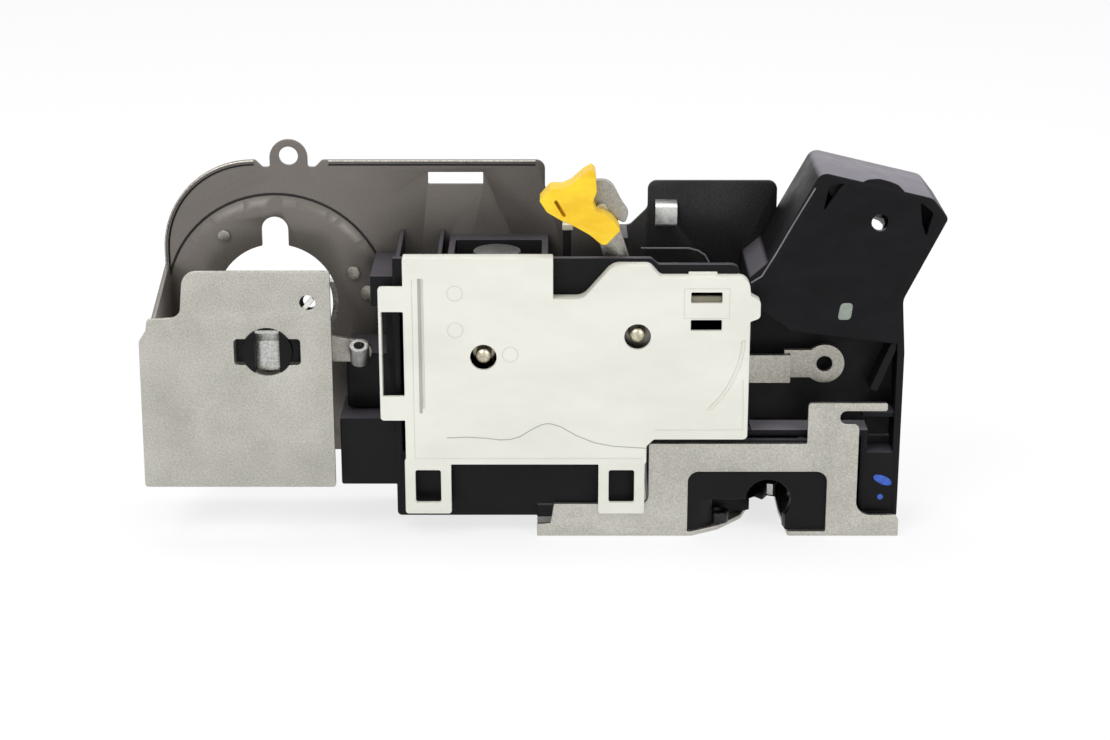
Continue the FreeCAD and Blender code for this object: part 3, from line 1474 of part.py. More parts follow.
def make_release_lever():
    front = size.release_front
    thick = size.release_sheet
    x = size.pivot_x
    z = size.pivot_z
    half = size.release_arm_height / 2.0
    level = size.release_low_z
    bend_x = size.case_right - 12.0
    lever = pin_y(x, z, size.lever_hub_radius, front, front + thick)
    lever = lever.fuse(lever_bar(x, z, bend_x, level, 5.4, half, front + thick, thick))
    straight = front_prism([
        (bend_x, level - half),
        (size.release_joggle_x, level - half, 1.0),
        (size.release_joggle_x, level + half, 1.0),
        (bend_x, level + half),
    ], front + thick, thick)
    lever = lever.fuse(straight)
    step = size.release_joggle + thick
    shoulder = front_prism([
        (size.release_joggle_x - thick, level - half),
        (size.release_joggle_x, level - half),
        (size.release_joggle_x, level + half),
        (size.release_joggle_x - thick, level + half),
    ], front + step + thick / 2.0, step + thick / 2.0)
    eye_back = front + step + thick / 2.0
    end_x = size.release_eye_x
    end_z = size.release_eye_z
    outer = front_prism([
        (size.release_joggle_x - thick, end_z - half),
        (end_x - 4.0, end_z - half),
        (end_x, end_z - size.release_eye_radius + 0.6),
        (end_x, end_z + size.release_eye_radius - 0.6),
        (end_x - 4.0, end_z + half),
        (size.release_joggle_x - thick, end_z + half),
    ], eye_back, thick)
    eye = pin_y(end_x, end_z, size.release_eye_radius, eye_back - thick, eye_back)
    lever = lever.fuse(shoulder).fuse(outer).fuse(eye)
    lever = lever.cut(pin_y(end_x, end_z, size.release_eye_bore, eye_back - thick, eye_back))
    lever = lever.cut(pin_y(x, z, size.pin_radius + size.running_gap, front, front + thick))
    plain_part("release_lever", lever.removeSplitter())


def domed_pin(x, z, radius, tip, back):
    """Round pin along Y with a domed front end."""
    straight = pin_y(x, z, radius, tip + radius * 0.45, back)
    dome_radius = (radius ** 2 + (radius * 0.45) ** 2) / (2.0 * radius * 0.45)
    ball = Part.makeSphere(dome_radius, vector(x, tip + dome_radius, z))
    cap = ball.common(pin_y(x, z, radius, tip, tip + radius * 0.45))
    return straight.fuse(cap).removeSplitter()


def make_pins():
    tip = size.cover_front + 0.6
    back = size.carrier_front - size.case_wall - 4.0
    plain_part("lever_pivot_pin", domed_pin(size.pivot_x, size.pivot_z, size.pin_radius, tip, back))
    stud = domed_pin(size.stud_x, size.stud_z, size.pin_radius, tip, size.motor_bay_front)
    flange = pin_y(size.stud_x, size.stud_z, size.pin_radius + 1.2, size.motor_bay_front - 1.2,
                   size.motor_bay_front)
    plain_part("cover_stud", stud.fuse(flange).removeSplitter())
    x = size.arm_pin_x
    z = size.arm_pin_z
    plain_part("arm_pin", domed_pin(x, z, size.arm_pin_radius, size.web_front - 2.4,
                                    size.web_front + size.web_sheet))


def make_lever_spacer():
    """Sleeve on the pivot pin between the release lever and the lock lever."""
    front = size.release_front + size.release_sheet + size.face_gap
    back = size.lock_lever_front - size.face_gap
    ring = pin_y(size.pivot_x, size.pivot_z, size.pin_radius + 1.3, front, back)
    ring = ring.cut(pin_y(size.pivot_x, size.pivot_z, size.pin_radius, front, back))
    plain_part("lever_spacer", ring)


def turned_about_claw(shape, degrees):
    shape.rotate(vector(size.claw_x, size.claw_y, 0), UP, degrees)
    return shape


def claw_profile(grow, bottom, height):
    """Claw drawn with its throat towards +X, as when shut; grow widens it all round."""
    radius = size.claw_radius + grow
    hub = size.claw_hub_radius + grow
    top = bottom + height
    disc = pin_z(0, 0, radius, bottom, top)
    sector = plan_prism([
        (-hub * 0.5, -hub * 0.87),
        (radius * 0.62, -radius * 0.86),
        (radius * 1.2, -radius * 0.55),
        (radius * 1.2, radius * 0.66),
        (radius * 0.66, radius * 0.78),
        (-hub * 0.5, hub * 0.87),
    ], bottom, height)
    claw = disc.common(sector).fuse(pin_z(0, 0, hub, bottom, top))
    slot = size.striker_radius - grow
    throat = pin_z(size.throat_reach, 0, slot, bottom, top)
    throat = throat.fuse(block(size.throat_reach, radius + 4.0, -slot, slot, bottom, top))
    claw = claw.cut(throat)
    low = math.radians(11.0)
    high = math.radians(size.claw_notch_angle)
    notch_radius = size.claw_notch_radius + grow
    far = radius + 6.0
    wedge = plan_prism([
        (0.0, 0.0),
        (far * math.cos(low), far * math.sin(low)),
        (far * math.cos(high), far * math.sin(high)),
    ], bottom, height)
    wedge = wedge.cut(pin_z(0, 0, notch_radius, bottom, top))
    return claw.cut(wedge)


def make_claw():
    """Forked claw: a steel core in a plastic jacket, standing open at rest."""
    bottom = size.claw_bottom
    top = bottom + size.claw_sheet
    steel = claw_profile(-size.claw_skin, bottom, size.claw_sheet)
    jacket = claw_profile(0.0, bottom - 0.5, size.claw_sheet + 1.0).cut(steel)
    bore = pin_z(0, 0, size.claw_rivet_radius + size.running_gap, bottom - 1.0, top + 1.0)
    place = vector(size.claw_x, size.claw_y, 0)
    for label, shape in (("claw_core", steel), ("claw_jacket", jacket)):
        shape = shape.cut(bore)
        shape.translate(place)
        plain_part(label, turned_about_claw(shape, size.claw_open_angle))


def pawl_nose():
    """Place of the pawl's nose, just off the claw's rim."""
    angle = math.radians(size.pawl_nose_angle)
    reach = size.claw_radius + size.pawl_gap
    return vector(size.claw_x + reach * math.cos(angle), size.claw_y + reach * math.sin(angle), 0)


def make_pawl():
    nose = pawl_nose()
    pivot = vector(size.pawl_x, size.pawl_y, 0)
    span = nose - pivot
    length = span.Length
    along = span.normalize()
    across = vector(-along.y, along.x, 0)
    bottom = size.claw_bottom
    arm = prism([
        (0.0, -size.pawl_hub_radius),
        (length * 0.75, -size.pawl_hub_radius * 0.95, 3.0),
        (length + 2.0, -size.pawl_hub_radius * 0.7, 1.0),
        (length + 2.0, -0.4, 0.6),
        (length - 5.0, -0.9, 1.0),
        (0.0, size.pawl_hub_radius * 0.6),
    ], vector(pivot.x, pivot.y, bottom), along, across, size.pawl_sheet)
    pawl = arm.fuse(pin_z(pivot.x, pivot.y, size.pawl_hub_radius, bottom, bottom + size.pawl_sheet))
    bore = pin_z(pivot.x, pivot.y, size.pawl_rivet_radius + size.running_gap, bottom, bottom + size.pawl_sheet)
    pawl = pawl.cut(bore)
    plain_part("pawl", pawl.removeSplitter())


def make_rivets():
    base = size.latch_sheet
    top = size.pocket_top
    specs = (
        ("claw_rivet", size.claw_x, size.claw_y, size.claw_rivet_radius),
        ("pawl_rivet", size.pawl_x, size.pawl_y, size.pawl_rivet_radius),
    )
    for label, x, y, radius in specs:
        post = pin_z(x, y, radius, base, top)
        plain_part(label, post)
    x = size.front_rivet_x
    y = size.front_rivet_y
    radius = size.front_rivet_radius
    rivet = pin_z(x, y, radius, base, size.front_rivet_top)
    rivet = rivet.cut(pin_z(x, y, radius - 1.2, size.front_rivet_top - 1.0, size.front_rivet_top))
    plain_part("front_rivet", rivet)


def make_springs():
    wire = size.spring_wire
    specs = (
        ("claw_spring", size.claw_x, size.claw_y, size.claw_rivet_radius),
        ("pawl_spring", size.pawl_x, size.pawl_y, size.pawl_rivet_radius),
    )
    for label, x, y, radius in specs:
        pitch = 2.4 * wire
        low = size.claw_bottom + size.claw_sheet + 1.2 + wire
        place = vector(x, y, low)
        plain_part(label, spring_coil(place, UP, radius + 2.0 * wire, pitch, size.spring_turns, wire))


def make_switch():
    back = size.carrier_front - size.case_wall
    front = back - size.switch_depth
    x = size.switch_x
    z = size.switch_z
    half = size.switch_width / 2.0
    tall = size.switch_height / 2.0
    body = block(x - half, x + half, front, back, z - tall, z + tall)
    plunger = block(x - 1.0, x + 1.0, front - 1.2, front, z + 1.0, z + 3.0)
    plain_part("position_switch", body.fuse(plunger).removeSplitter())


def make_terminals():
    inner = size.socket_left + size.socket_depth
    middle_y = (size.socket_front + size.socket_back) / 2.0
    middle_z = (size.socket_bottom + size.socket_top) / 2.0
    half = size.terminal_size / 2.0
    pins = []
    count = int(size.terminal_count)
    for index in range(count):
        z = middle_z + (index - (count - 1) / 2.0) * size.terminal_pitch
        pins.append(block(inner - size.socket_depth + 3.0, inner, middle_y - half, middle_y + half,
                          z - half, z + half))
    plain_part("connector_terminals", Part.makeCompound(pins))


def make_case_screws():
    screws = []
    for x, z in case_screw_places():
        back = carrier_back()
        shank = pin_y(x, z, size.case_screw_radius, back - size.case_screw_length, back)
        head = pin_y(x, z, size.case_screw_head, back, back + size.case_screw_head_height)
        screws.append(shank.fuse(head).removeSplitter())
    plain_part("case_screws", Part.makeCompound(screws))


def build():
    make_carrier_plate()
    make_key_cover_plate()
    make_plate_standoffs()
    make_lock_collar()
    make_cable_clip()
    make_carrier_rivets()
    make_key_hub()
    make_key_tongue()
    make_key_lever()
    make_rod_eyelet()
    make_actuator_case()
    make_actuator_cover()
    make_latch_frame()
    make_latch_plate()
    make_latch_case()
    make_motor()
    make_worm()
    make_drive_gear()
    make_lock_lever()
    make_rod_clip()
    make_release_lever()
    make_pins()
    make_lever_spacer()
    make_claw()
    make_pawl()
    make_rivets()
    make_springs()
    make_switch()
    make_terminals()
    make_case_screws()


def check_and_write():
    document.recompute()
    for item in document.Objects:
        if "Invalid" in item.State or "Error" in item.State:
            raise ValueError("%s failed: %s" % (item.Label, item.State))
    os.makedirs("parts", exist_ok=True)
    for part in sub_parts:
        shape = part.Shape
        if shape.isNull() or not shape.isValid() or not shape.Solids:
            raise ValueError(part.Label + " has no valid solid")
        shape.exportStep(os.path.join("parts", part.Label + ".step"))
        print("%-22s solids %2d  volume %9.1f" % (part.Label, len(shape.Solids), shape.Volume))


build()
check_and_write()
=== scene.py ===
import logging
import math
from dataclasses import dataclass
from enum import Enum

import bmesh
import bpy
from bpy.types import Material, Mesh, Node, NodeSocket, NodeTree, Object
from mathutils import Matrix, Vector


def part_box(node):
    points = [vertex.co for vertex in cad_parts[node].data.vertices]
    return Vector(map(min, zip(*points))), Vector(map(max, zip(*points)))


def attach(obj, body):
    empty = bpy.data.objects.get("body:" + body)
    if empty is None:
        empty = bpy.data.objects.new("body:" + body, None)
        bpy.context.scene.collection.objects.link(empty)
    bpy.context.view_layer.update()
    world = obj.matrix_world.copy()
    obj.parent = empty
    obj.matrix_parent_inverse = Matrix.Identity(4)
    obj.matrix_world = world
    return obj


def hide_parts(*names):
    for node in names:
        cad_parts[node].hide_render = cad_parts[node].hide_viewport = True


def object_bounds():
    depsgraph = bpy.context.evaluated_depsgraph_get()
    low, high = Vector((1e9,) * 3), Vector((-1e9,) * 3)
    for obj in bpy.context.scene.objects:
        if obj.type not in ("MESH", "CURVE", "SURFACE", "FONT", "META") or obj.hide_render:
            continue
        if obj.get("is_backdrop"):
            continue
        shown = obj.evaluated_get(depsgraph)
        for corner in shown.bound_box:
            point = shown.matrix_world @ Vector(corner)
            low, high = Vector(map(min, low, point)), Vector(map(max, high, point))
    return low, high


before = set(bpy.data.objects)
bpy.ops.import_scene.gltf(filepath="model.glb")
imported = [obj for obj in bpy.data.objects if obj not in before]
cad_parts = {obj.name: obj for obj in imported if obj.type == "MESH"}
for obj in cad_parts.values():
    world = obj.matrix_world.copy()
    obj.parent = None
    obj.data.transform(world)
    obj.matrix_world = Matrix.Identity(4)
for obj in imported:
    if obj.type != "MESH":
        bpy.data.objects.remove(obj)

LOG = logging.getLogger("latch")
MM = 0.001
WELD_MM = 0.002  # points of a solid's mesh that are closer than this are one point
LAYER_WELD_MM = 0.001  # the same for drawn layers
FLAT_DEG = 0.8  # faces of a solid that turn less than this are one face
ROUND_FROM_DEG = 40.0  # edges that turn more than this are rounded
SHARP_DEG = 38.0  # edges that turn more than this are shaded sharp

Pair = tuple[float, float]
Triple = tuple[float, float, float]
Outline = tuple[Pair, ...]
Path = tuple[Triple, ...]


def linear(code: str) -> tuple[float, float, float, float]:
    """Turns an sRGB hex colour into Blender's linear colour.

    Args:
        code: Colour such as "#aabbcc".

    Returns:
        Red, green, blue and alpha, each from 0 to 1.
    """
    channels = []
    for start in (1, 3, 5):
        value = int(code[start:start + 2], 16) / 255.0
        channels.append(value / 12.92 if value <= 0.04045 else ((value + 0.055) / 1.055) ** 2.4)
    return (*channels, 1.0)


def set_inputs(node: Node, inputs: dict) -> None:
    """Sets inputs of a node.

    Args:
        node: The node.
        inputs: Value of each input; a socket, or each of a list of sockets, is linked.
    """
    for key, value in inputs.items():
        sockets = value if isinstance(value, list) else [value]
        if isinstance(sockets[0], NodeSocket):
            for socket in sockets:
                node.id_data.links.new(socket, node.inputs[key])
        else:
            node.inputs[key].default_value = value


def add_node(tree: NodeTree, kind: str, settings: dict | None = None, inputs: dict | None = None) -> Node:
    """Adds a node.

    Args:
        tree: The node tree that it goes in.
        kind: Blender's name of the node's type.
        settings: Properties of the node.
        inputs: Its inputs, as set_inputs takes them.

    Returns:
        The new node.
    """
    node = tree.nodes.new(kind)
    for key, value in (settings or {}).items():
        setattr(node, key, value)
    set_inputs(node, inputs or {})
    return node


def blend_colours(tree: NodeTree, share: NodeSocket, low: str, high: str,
                  start: float = 0.35, end: float = 0.65) -> NodeSocket:
    """Runs a pattern's value from one colour to another.

    Args:
        tree: The material's node tree.
        share: Value of the pattern.
        low: Hex colour at the start.
        high: Hex colour at the end.
        start: Pattern value at which the change starts.
        end: Pattern value at which it ends.

    Returns:
        The colour socket.
    """
    ramp = add_node(tree, "ShaderNodeValToRGB", inputs={"Fac": share})
    for element, place, code in zip(ramp.color_ramp.elements, (start, end), (low, high)):
        element.position = place
        element.color = linear(code)
    return ramp.outputs["Color"]


def pattern(tree: NodeTree, size_mm: float, stretch: Triple = (1.0, 1.0, 1.0), detail: float = 3.0,
            rough: float = 0.55) -> NodeSocket:
    """Noise of a real size on the piece's own coordinates.

    Args:
        tree: The material's node tree.
        size_mm: Size of one blotch in millimetres.
        stretch: Squeeze of the pattern along each axis.
        detail: Octaves of the noise.
        rough: Weight of the finer octaves.

    Returns:
        The noise value, about 0.5 on average.
    """
    place = add_node(tree, "ShaderNodeTexCoord")
    mapped = add_node(tree, "ShaderNodeMapping", inputs={"Vector": place.outputs["Object"], "Scale": stretch})
    noise = add_node(tree, "ShaderNodeTexNoise", inputs={
        "Vector": mapped.outputs["Vector"], "Scale": 1.0 / (size_mm * MM), "Detail": detail,
        "Roughness": rough})
    return noise.outputs["Fac"]


def remap(tree: NodeTree, value: NodeSocket, low: float, high: float,
          start: float = 0.3, end: float = 0.7) -> NodeSocket:
    """Stretches a pattern's value to a range.

    Args:
        tree: The material's node tree.
        value: Value of the pattern.
        low: Result at the start.
        high: Result at the end.
        start: Pattern value that gives the low result.
        end: Pattern value that gives the high result.

    Returns:
        The stretched value.
    """
    node = add_node(tree, "ShaderNodeMapRange", inputs={
        "Value": value, "From Min": start, "From Max": end, "To Min": low, "To Max": high})
    return node.outputs["Result"]


def new_material(name: str) -> tuple[Material, NodeTree, Node]:
    """Makes an empty node material.

    Args:
        name: The finish's name.

    Returns:
        The material, its tree and its shader.
    """
    material = bpy.data.materials.new(name)
    material.use_nodes = True
    tree = material.node_tree
    return material, tree, tree.nodes["Principled BSDF"]


@dataclass(frozen=True)
class Surface:
    """A finish: two close tones, a range of roughness and a fine relief."""

    name: str
    colour: str
    deep: str
    rough: Pair = (0.4, 0.55)
    relief_mm: float = 0.02
    relief: float = 0.35

    def coat(self, shader: Node, height: NodeSocket, inputs: dict) -> None:
        """Sets the shader's inputs and the relief.

        Args:
            shader: The material's shader.
            height: Pattern of the relief.
            inputs: Values and sockets of the other inputs.
        """
        bump = add_node(shader.id_data, "ShaderNodeBump", inputs={
            "Height": height, "Strength": self.relief, "Distance": self.relief_mm * MM})
        set_inputs(shader, {**inputs, "Normal": bump.outputs["Normal"]})


@dataclass(frozen=True)
class Moulding(Surface):
    """Injection moulded plastic with the fine grain of an eroded tool."""

    grain_mm: float = 0.5
    ior: float = 1.45
    flow_mm: float = 30.0
    flow_stretch: Triple = (1.0, 1.0, 2.2)
    sheen_mm: float = 6.0
    gloss: float = 0.5
    # Colour of a painted highlight on faces that look up, for the light from above; empty for none
    top: str = ""
    top_light_from: float = 0.55
    top_light_to: float = 0.9

    def make(self) -> Material:
        """Builds the material: the tones drift with the melt's flow, and faces that look up take the top colour as a
        painted highlight.
        """
        material, tree, shader = new_material(self.name)
        flow = pattern(tree, self.flow_mm, self.flow_stretch)
        colour = blend_colours(tree, flow, self.deep, self.colour)
        # Painted highlight: faces that look up blend to the lighter top colour
        if self.top:
            place = add_node(tree, "ShaderNodeTexCoord")
            axes = add_node(tree, "ShaderNodeSeparateXYZ", inputs={"Vector": place.outputs["Normal"]})
            up_facing_light = remap(tree, axes.outputs["Z"], 0.0, 1.0, self.top_light_from, self.top_light_to)
            painted_top_highlight = add_node(tree, "ShaderNodeMix", {"data_type": "RGBA"}, {
                0: up_facing_light, 6: colour, 7: linear(self.top)})
            colour = painted_top_highlight.outputs[2]
        self.coat(shader, pattern(tree, self.grain_mm, detail=2.0), {
            "Base Color": colour, "Specular IOR Level": self.gloss, "IOR": self.ior,
            "Roughness": remap(tree, pattern(tree, self.sheen_mm), *self.rough)})
        return material


@dataclass(frozen=True)
class PlatedSheet(Surface):
    """Cold rolled steel sheet with a dull zinc coat: a fine speckle over very soft clouds."""

    rough: Pair = (0.34, 0.52)
    relief: float = 0.2
    speckle_mm: float = 0.55
    speckle_share: float = 0.72
    cloud_mm: float = 18.0
    line_mm: float = 0.5
    line_stretch: Triple = (0.04, 1.0, 1.0)

    def make(self) -> Material:
        """Builds the material, with the rolling lines as its relief."""
        material, tree, shader = new_material(self.name)
        cloud = pattern(tree, self.cloud_mm, detail=4.0)
        speckle = pattern(tree, self.speckle_mm, rough=0.75)
        mixed = add_node(tree, "ShaderNodeMix", {"data_type": "FLOAT"}, {
            0: self.speckle_share, 2: cloud, 3: speckle})
        self.coat(shader, pattern(tree, self.line_mm, self.line_stretch, 2.0), {
            "Metallic": 1.0, "Roughness": remap(tree, speckle, *self.rough),
            "Base Color": blend_colours(tree, mixed.outputs[0], self.deep, self.colour, 0.4, 0.6)})
        return material


@dataclass(frozen=True)
class BlackedSheet(Surface):
    """Stamped steel under a thin black electro coat, with a painted reflection that turns it grey-brown towards one
    end.
    """

    rough: Pair = (0.46, 0.3)
    relief_mm: float = 0.03
    relief: float = 0.3
    metallic: float = 0.45
    # Where the painted reflection is brightest, along X
    reflection_x_mm: float = -40.0
    dark_x_mm: float = 45.0
    cloud_mm: float = 26.0
    speck_mm: float = 0.6
    speck_share: float = 0.6
    soft_share: float = 0.42

    def make(self) -> Material:
        """Builds the material: a painted reflection lightens the coat along X, with soft clouds and small bright
        specks.
        """
        material, tree, shader = new_material(self.name)
        place = add_node(tree, "ShaderNodeTexCoord")
        axes = add_node(tree, "ShaderNodeSeparateXYZ", inputs={"Vector": place.outputs["Object"]})
        # Painted reflection: the coat is lightest at one end along X and darkest at the other
        along = remap(tree, axes.outputs["X"], 0.8, 0.12, self.reflection_x_mm * MM, self.dark_x_mm * MM)
        cloud = pattern(tree, self.cloud_mm, detail=4.0)
        speck = pattern(tree, self.speck_mm, rough=0.75)
        soft = add_node(tree, "ShaderNodeMix", {"data_type": "FLOAT"}, {
            0: self.speck_share, 2: cloud, 3: speck})
        reflection_and_mottle = add_node(tree, "ShaderNodeMix", {"data_type": "FLOAT"}, {
            0: self.soft_share, 2: along, 3: soft.outputs[0]})
        self.coat(shader, speck, {
            "Metallic": self.metallic, "Roughness": remap(tree, cloud, *self.rough),
            "Base Color": blend_colours(tree, reflection_and_mottle.outputs[0], self.deep, self.colour, 0.25, 0.75)})
        return material


@dataclass(frozen=True)
class TurnedMetal(Surface):
    """Small turned or drawn metal part with faint machining marks."""

    rough: Pair = (0.24, 0.38)
    relief: float = 0.15
    mark_mm: float = 0.8

    def make(self) -> Material:
        """Builds the material: the marks give tone, roughness and relief."""
        material, tree, shader = new_material(self.name)
        marks = pattern(tree, self.mark_mm, detail=4.0)
        self.coat(shader, marks, {
            "Metallic": 1.0, "Roughness": remap(tree, marks, *self.rough),
            "Base Color": blend_colours(tree, marks, self.deep, self.colour)})
        return material


class Finish(Enum):
    """Finishes of the latch, each named for what the real surface is or for the light and shade painted on it."""

    # Glass filled nylon, black: near black faces; edges and tops that look up get a grey painted highlight for the
    # light from above
    BLACK_NYLON = Moulding("black_nylon_moulding", "#0d0d10", "#08080a", (0.34, 0.5), 0.03,
                           grain_mm=0.4, ior=1.42, gloss=0.24, top="#4a474d")
    # The arm's nylon: the same black, with a broad light grey painted highlight on the top that faces the sky, for
    # the light from above
    ARM_NYLON = Moulding("painted_top_highlight_nylon_arm", "#0d0d10", "#08080a", relief_mm=0.04,
                         ior=1.42, flow_mm=20.0, gloss=0.22, top="#7a767e")
    # Arm's eroded front face: the same nylon, dead matt and a little bluer, with a grey painted highlight on edges
    # that look up
    MATT_NYLON = Moulding("matt_nylon_face", "#101013", "#0a0a0d", (0.5, 0.65), 0.04,
                          grain_mm=0.6, ior=1.42, flow_mm=12.0, gloss=0.2, top="#7b777f")
    # Painted highlight: a grey nylon bead where a rim of the housing catches the light
    LIT_RIM_NYLON = Moulding("painted_highlight_nylon_rim", "#77737a", "#656268", flow_mm=8.0)
    # White acetal: slightly warm cream white, soft satin
    WHITE_ACETAL = Moulding("white_acetal_moulding", "#dfdfd6", "#d8d8ce", (0.4, 0.54), 0.015,
                            ior=1.46, gloss=0.35)
    # Painted shade: a grey line for the shadow under the step and in the groove of the cover's face
    SHADED_LINE = Moulding("painted_step_shade_line", "#a9a9a0", "#9f9f96", (0.45, 0.55), 0.01, gloss=0.3)
    # Fainter painted shade along the small steps, ejector marks and low frames
    FAINT_SHADE_LINE = Moulding("faint_painted_shade_line", "#cdcdc4", "#c6c6bd", (0.45, 0.55), 0.01, gloss=0.3)
    # Painted shade: olive grey for the white shelf that lies in shade inside the cover's upper window
    SHADED_SHELF_GREY = Moulding("olive_grey_painted_shade", "#7d7a68", "#6b6858", ior=1.46)
    # Greenish grey pill on the arm
    PILL_GREY = Moulding("green_grey_pill", "#8d978c", "#7c857b", (0.3, 0.42), ior=1.48, flow_mm=4.0)
    # Yellow acetal: strong warm yellow, soft satin
    YELLOW_ACETAL = Moulding("yellow_acetal_moulding", "#f2cf2c", "#e6b81c", (0.36, 0.5), 0.015,
                             ior=1.46, flow_mm=14.0, gloss=0.4)
    # Natural acetal of the worm wheel: milky off-white
    NATURAL_ACETAL = Moulding("natural_acetal_moulding", "#e2dcc8", "#d6cfb8", (0.3, 0.44), 0.01, ior=1.48)
    # Dull zinc on rolled sheet: warm light grey with a fine speckle
    ZINC_SHEET = PlatedSheet("dull_zinc_sheet", "#c9c7bf", "#aaa89f")
    # Zinc on levers, a little darker from handling
    ZINC_LEVER = PlatedSheet("handled_zinc_sheet", "#aeaba3", "#8b8880", (0.34, 0.5))
    # Black electro coat on the stamped carrier: satin, with a painted reflection that makes it grey-brown at the
    # left and blue-black at the right
    BLACK_COAT = BlackedSheet("black_coated_sheet", "#77716b", "#17181b")
    # Painted highlight: a pale warm grey line where the carrier's edge catches the light
    EDGE_HIGHLIGHT = TurnedMetal("painted_edge_highlight", "#b9b4ae", "#8f8a84", (0.34, 0.48))
    # Painted shade: almost black along the dish's fold
    FOLD_SHADE = Moulding("painted_fold_shade", "#2a2827", "#1f1e1d", (0.4, 0.5), flow_mm=10.0, gloss=0.3)
    # Polished strap of spring steel: almost white where it faces the light
    BRIGHT_STRAP = TurnedMetal("polished_spring_strap", "#f4f4f1", "#dcdcd8", (0.3, 0.44))
    # Bright zinc on rivets, pins and springs
    BRIGHT_ZINC = TurnedMetal("bright_zinc_turned", "#d2d2cf", "#a9a9a6")
    # Pale chromate on the pins seen through the cover: steel with a hint of yellow
    PALE_CHROMATE = TurnedMetal("pale_chromate_pin", "#d9d2bd", "#a8a08a")
    # Brass of the worm and the terminals
    BRASS = TurnedMetal("yellow_brass_turned", "#cbb274", "#977f48")
    # Drawn motor can, plain zinc
    MOTOR_CAN = TurnedMetal("drawn_motor_can", "#9c9c9a", "#7e7e7c", (0.34, 0.48))
    # Blue marking paint dabbed on at final inspection: thin, slightly glossy
    BLUE_PAINT = Moulding("blue_marking_paint", "#2f5fc4", "#2347a0", (0.25, 0.35),
                          grain_mm=0.8, ior=1.5, flow_mm=2.0)

    def material(self) -> Material:
        """The finish's material, made once."""
        return bpy.data.materials.get(self.value.name) or self.value.make()


def mesh_piece(name: str, mesh: Mesh, finish: Finish) -> Object:
    """Puts a mesh in the scene as a piece.

    Args:
        name: The piece's name.
        mesh: The mesh, in the part's own frame.
        finish: Its finish.

    Returns:
        The object.
    """
    mesh.materials.clear()
    mesh.materials.append(finish.material())
    piece = bpy.data.objects.new(name, mesh)
    bpy.context.scene.collection.objects.link(piece)
    return piece


def settle(piece: Object) -> None:
    """Turns a piece's modifiers into plain mesh.

    Args:
        piece: The piece.
    """
    graph = bpy.context.evaluated_depsgraph_get()
    graph.update()
    mesh = bpy.data.meshes.new_from_object(piece.evaluated_get(graph))
    piece.modifiers.clear()
    old, piece.data = piece.data, mesh
    bpy.data.meshes.remove(old)


def smooth(mesh: Mesh, sharp_deg: float = SHARP_DEG) -> None:
    """Shades a mesh smooth between its sharp edges.

    Args:
        mesh: The mesh.
        sharp_deg: Edges that turn more than this stay sharp.
    """
    mesh.shade_smooth()
    mesh.set_sharp_from_angle(angle=math.radians(sharp_deg))


def rounded_copy(node: str, name: str, edge_mm: float, finish: Finish) -> Object:
    """Copies a solid of the frame and rounds its sharp edges, within the solid's own box.

    Args:
        node: The solid's name.
        name: The new piece's name.
        edge_mm: Width of the rounding.
        finish: The piece's finish.

    Returns:
        The finished piece.
    """
    form = bmesh.new()
    form.from_mesh(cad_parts[node].data)
    bmesh.ops.remove_doubles(form, verts=form.verts, dist=WELD_MM * MM)
    bmesh.ops.dissolve_limit(form, angle_limit=math.radians(FLAT_DEG), verts=form.verts, edges=form.edges)
    mesh = bpy.data.meshes.new(name)
    form.to_mesh(mesh)
    form.free()
    for layer in ("custom_normal", "sharp_face", "sharp_edge"):
        if layer in mesh.attributes:
            mesh.attributes.remove(mesh.attributes[layer])
    piece = mesh_piece(name, mesh, finish)
    bevel = piece.modifiers.new("EdgeRounding", "BEVEL")
    bevel.width = edge_mm * MM
    bevel.segments = 2
    bevel.limit_method = "ANGLE"
    bevel.angle_limit = math.radians(ROUND_FROM_DEG)
    bevel.use_clamp_overlap = False
    bevel.miter_outer = "MITER_ARC"
    settle(piece)
    low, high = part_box(node)
    for vertex in piece.data.vertices:
        vertex.co = Vector(min(max(vertex.co[axis], low[axis]), high[axis]) for axis in range(3))
    smooth(piece.data)
    return piece


def softened(outline: Outline, corner_mm: float, steps: int = 5, most: float = 0.45) -> list[Pair]:
    """Rounds the corners of an outline.

    Args:
        outline: Corners in millimetres.
        corner_mm: How far from a corner its rounding starts.
        steps: Points of each rounding.
        most: Largest share of a side that a rounding takes.

    Returns:
        The outline with a small curve at each corner.
    """
    points = []
    for index, corner in enumerate(outline):
        here = Vector(corner)
        sides = (Vector(outline[index - 1]) - here, Vector(outline[(index + 1) % len(outline)]) - here)
        start, end = (here + side.normalized() * min(corner_mm, most * side.length) for side in sides)
        for step in range(steps):
            share = step / (steps - 1)
            point = start * (1 - share) ** 2 + here * 2 * share * (1 - share) + end * share ** 2
            points.append((point.x, point.y))
    return points


def arc(x: float, z: float, radius: float, start_deg: float = 0.0, step_deg: float = 9.0,
        count: int = 40) -> Outline:
    """Points of an arc in the XZ plane; with no angles given, a full circle.

    Args:
        x: Its centre along X.
        z: Its centre along Z.
        radius: Its radius.
        start_deg: Angle of the first point.
        step_deg: Angle from one point to the next.
        count: Number of points.

    Returns:
        The points.
    """
    turns = (math.radians(start_deg + step_deg * index) for index in range(count))
    return tuple((x + radius * math.cos(turn), z + radius * math.sin(turn)) for turn in turns)


def at_depth(y: float, *outlines: Outline) -> tuple[Path, ...]:
    """Sets outlines of the XZ plane at a depth.

    Args:
        y: The depth along Y.
        outlines: The outlines.

    Returns:
        A path for each outline.
    """
    return tuple(tuple((x, y, z) for x, z in outline) for outline in outlines)


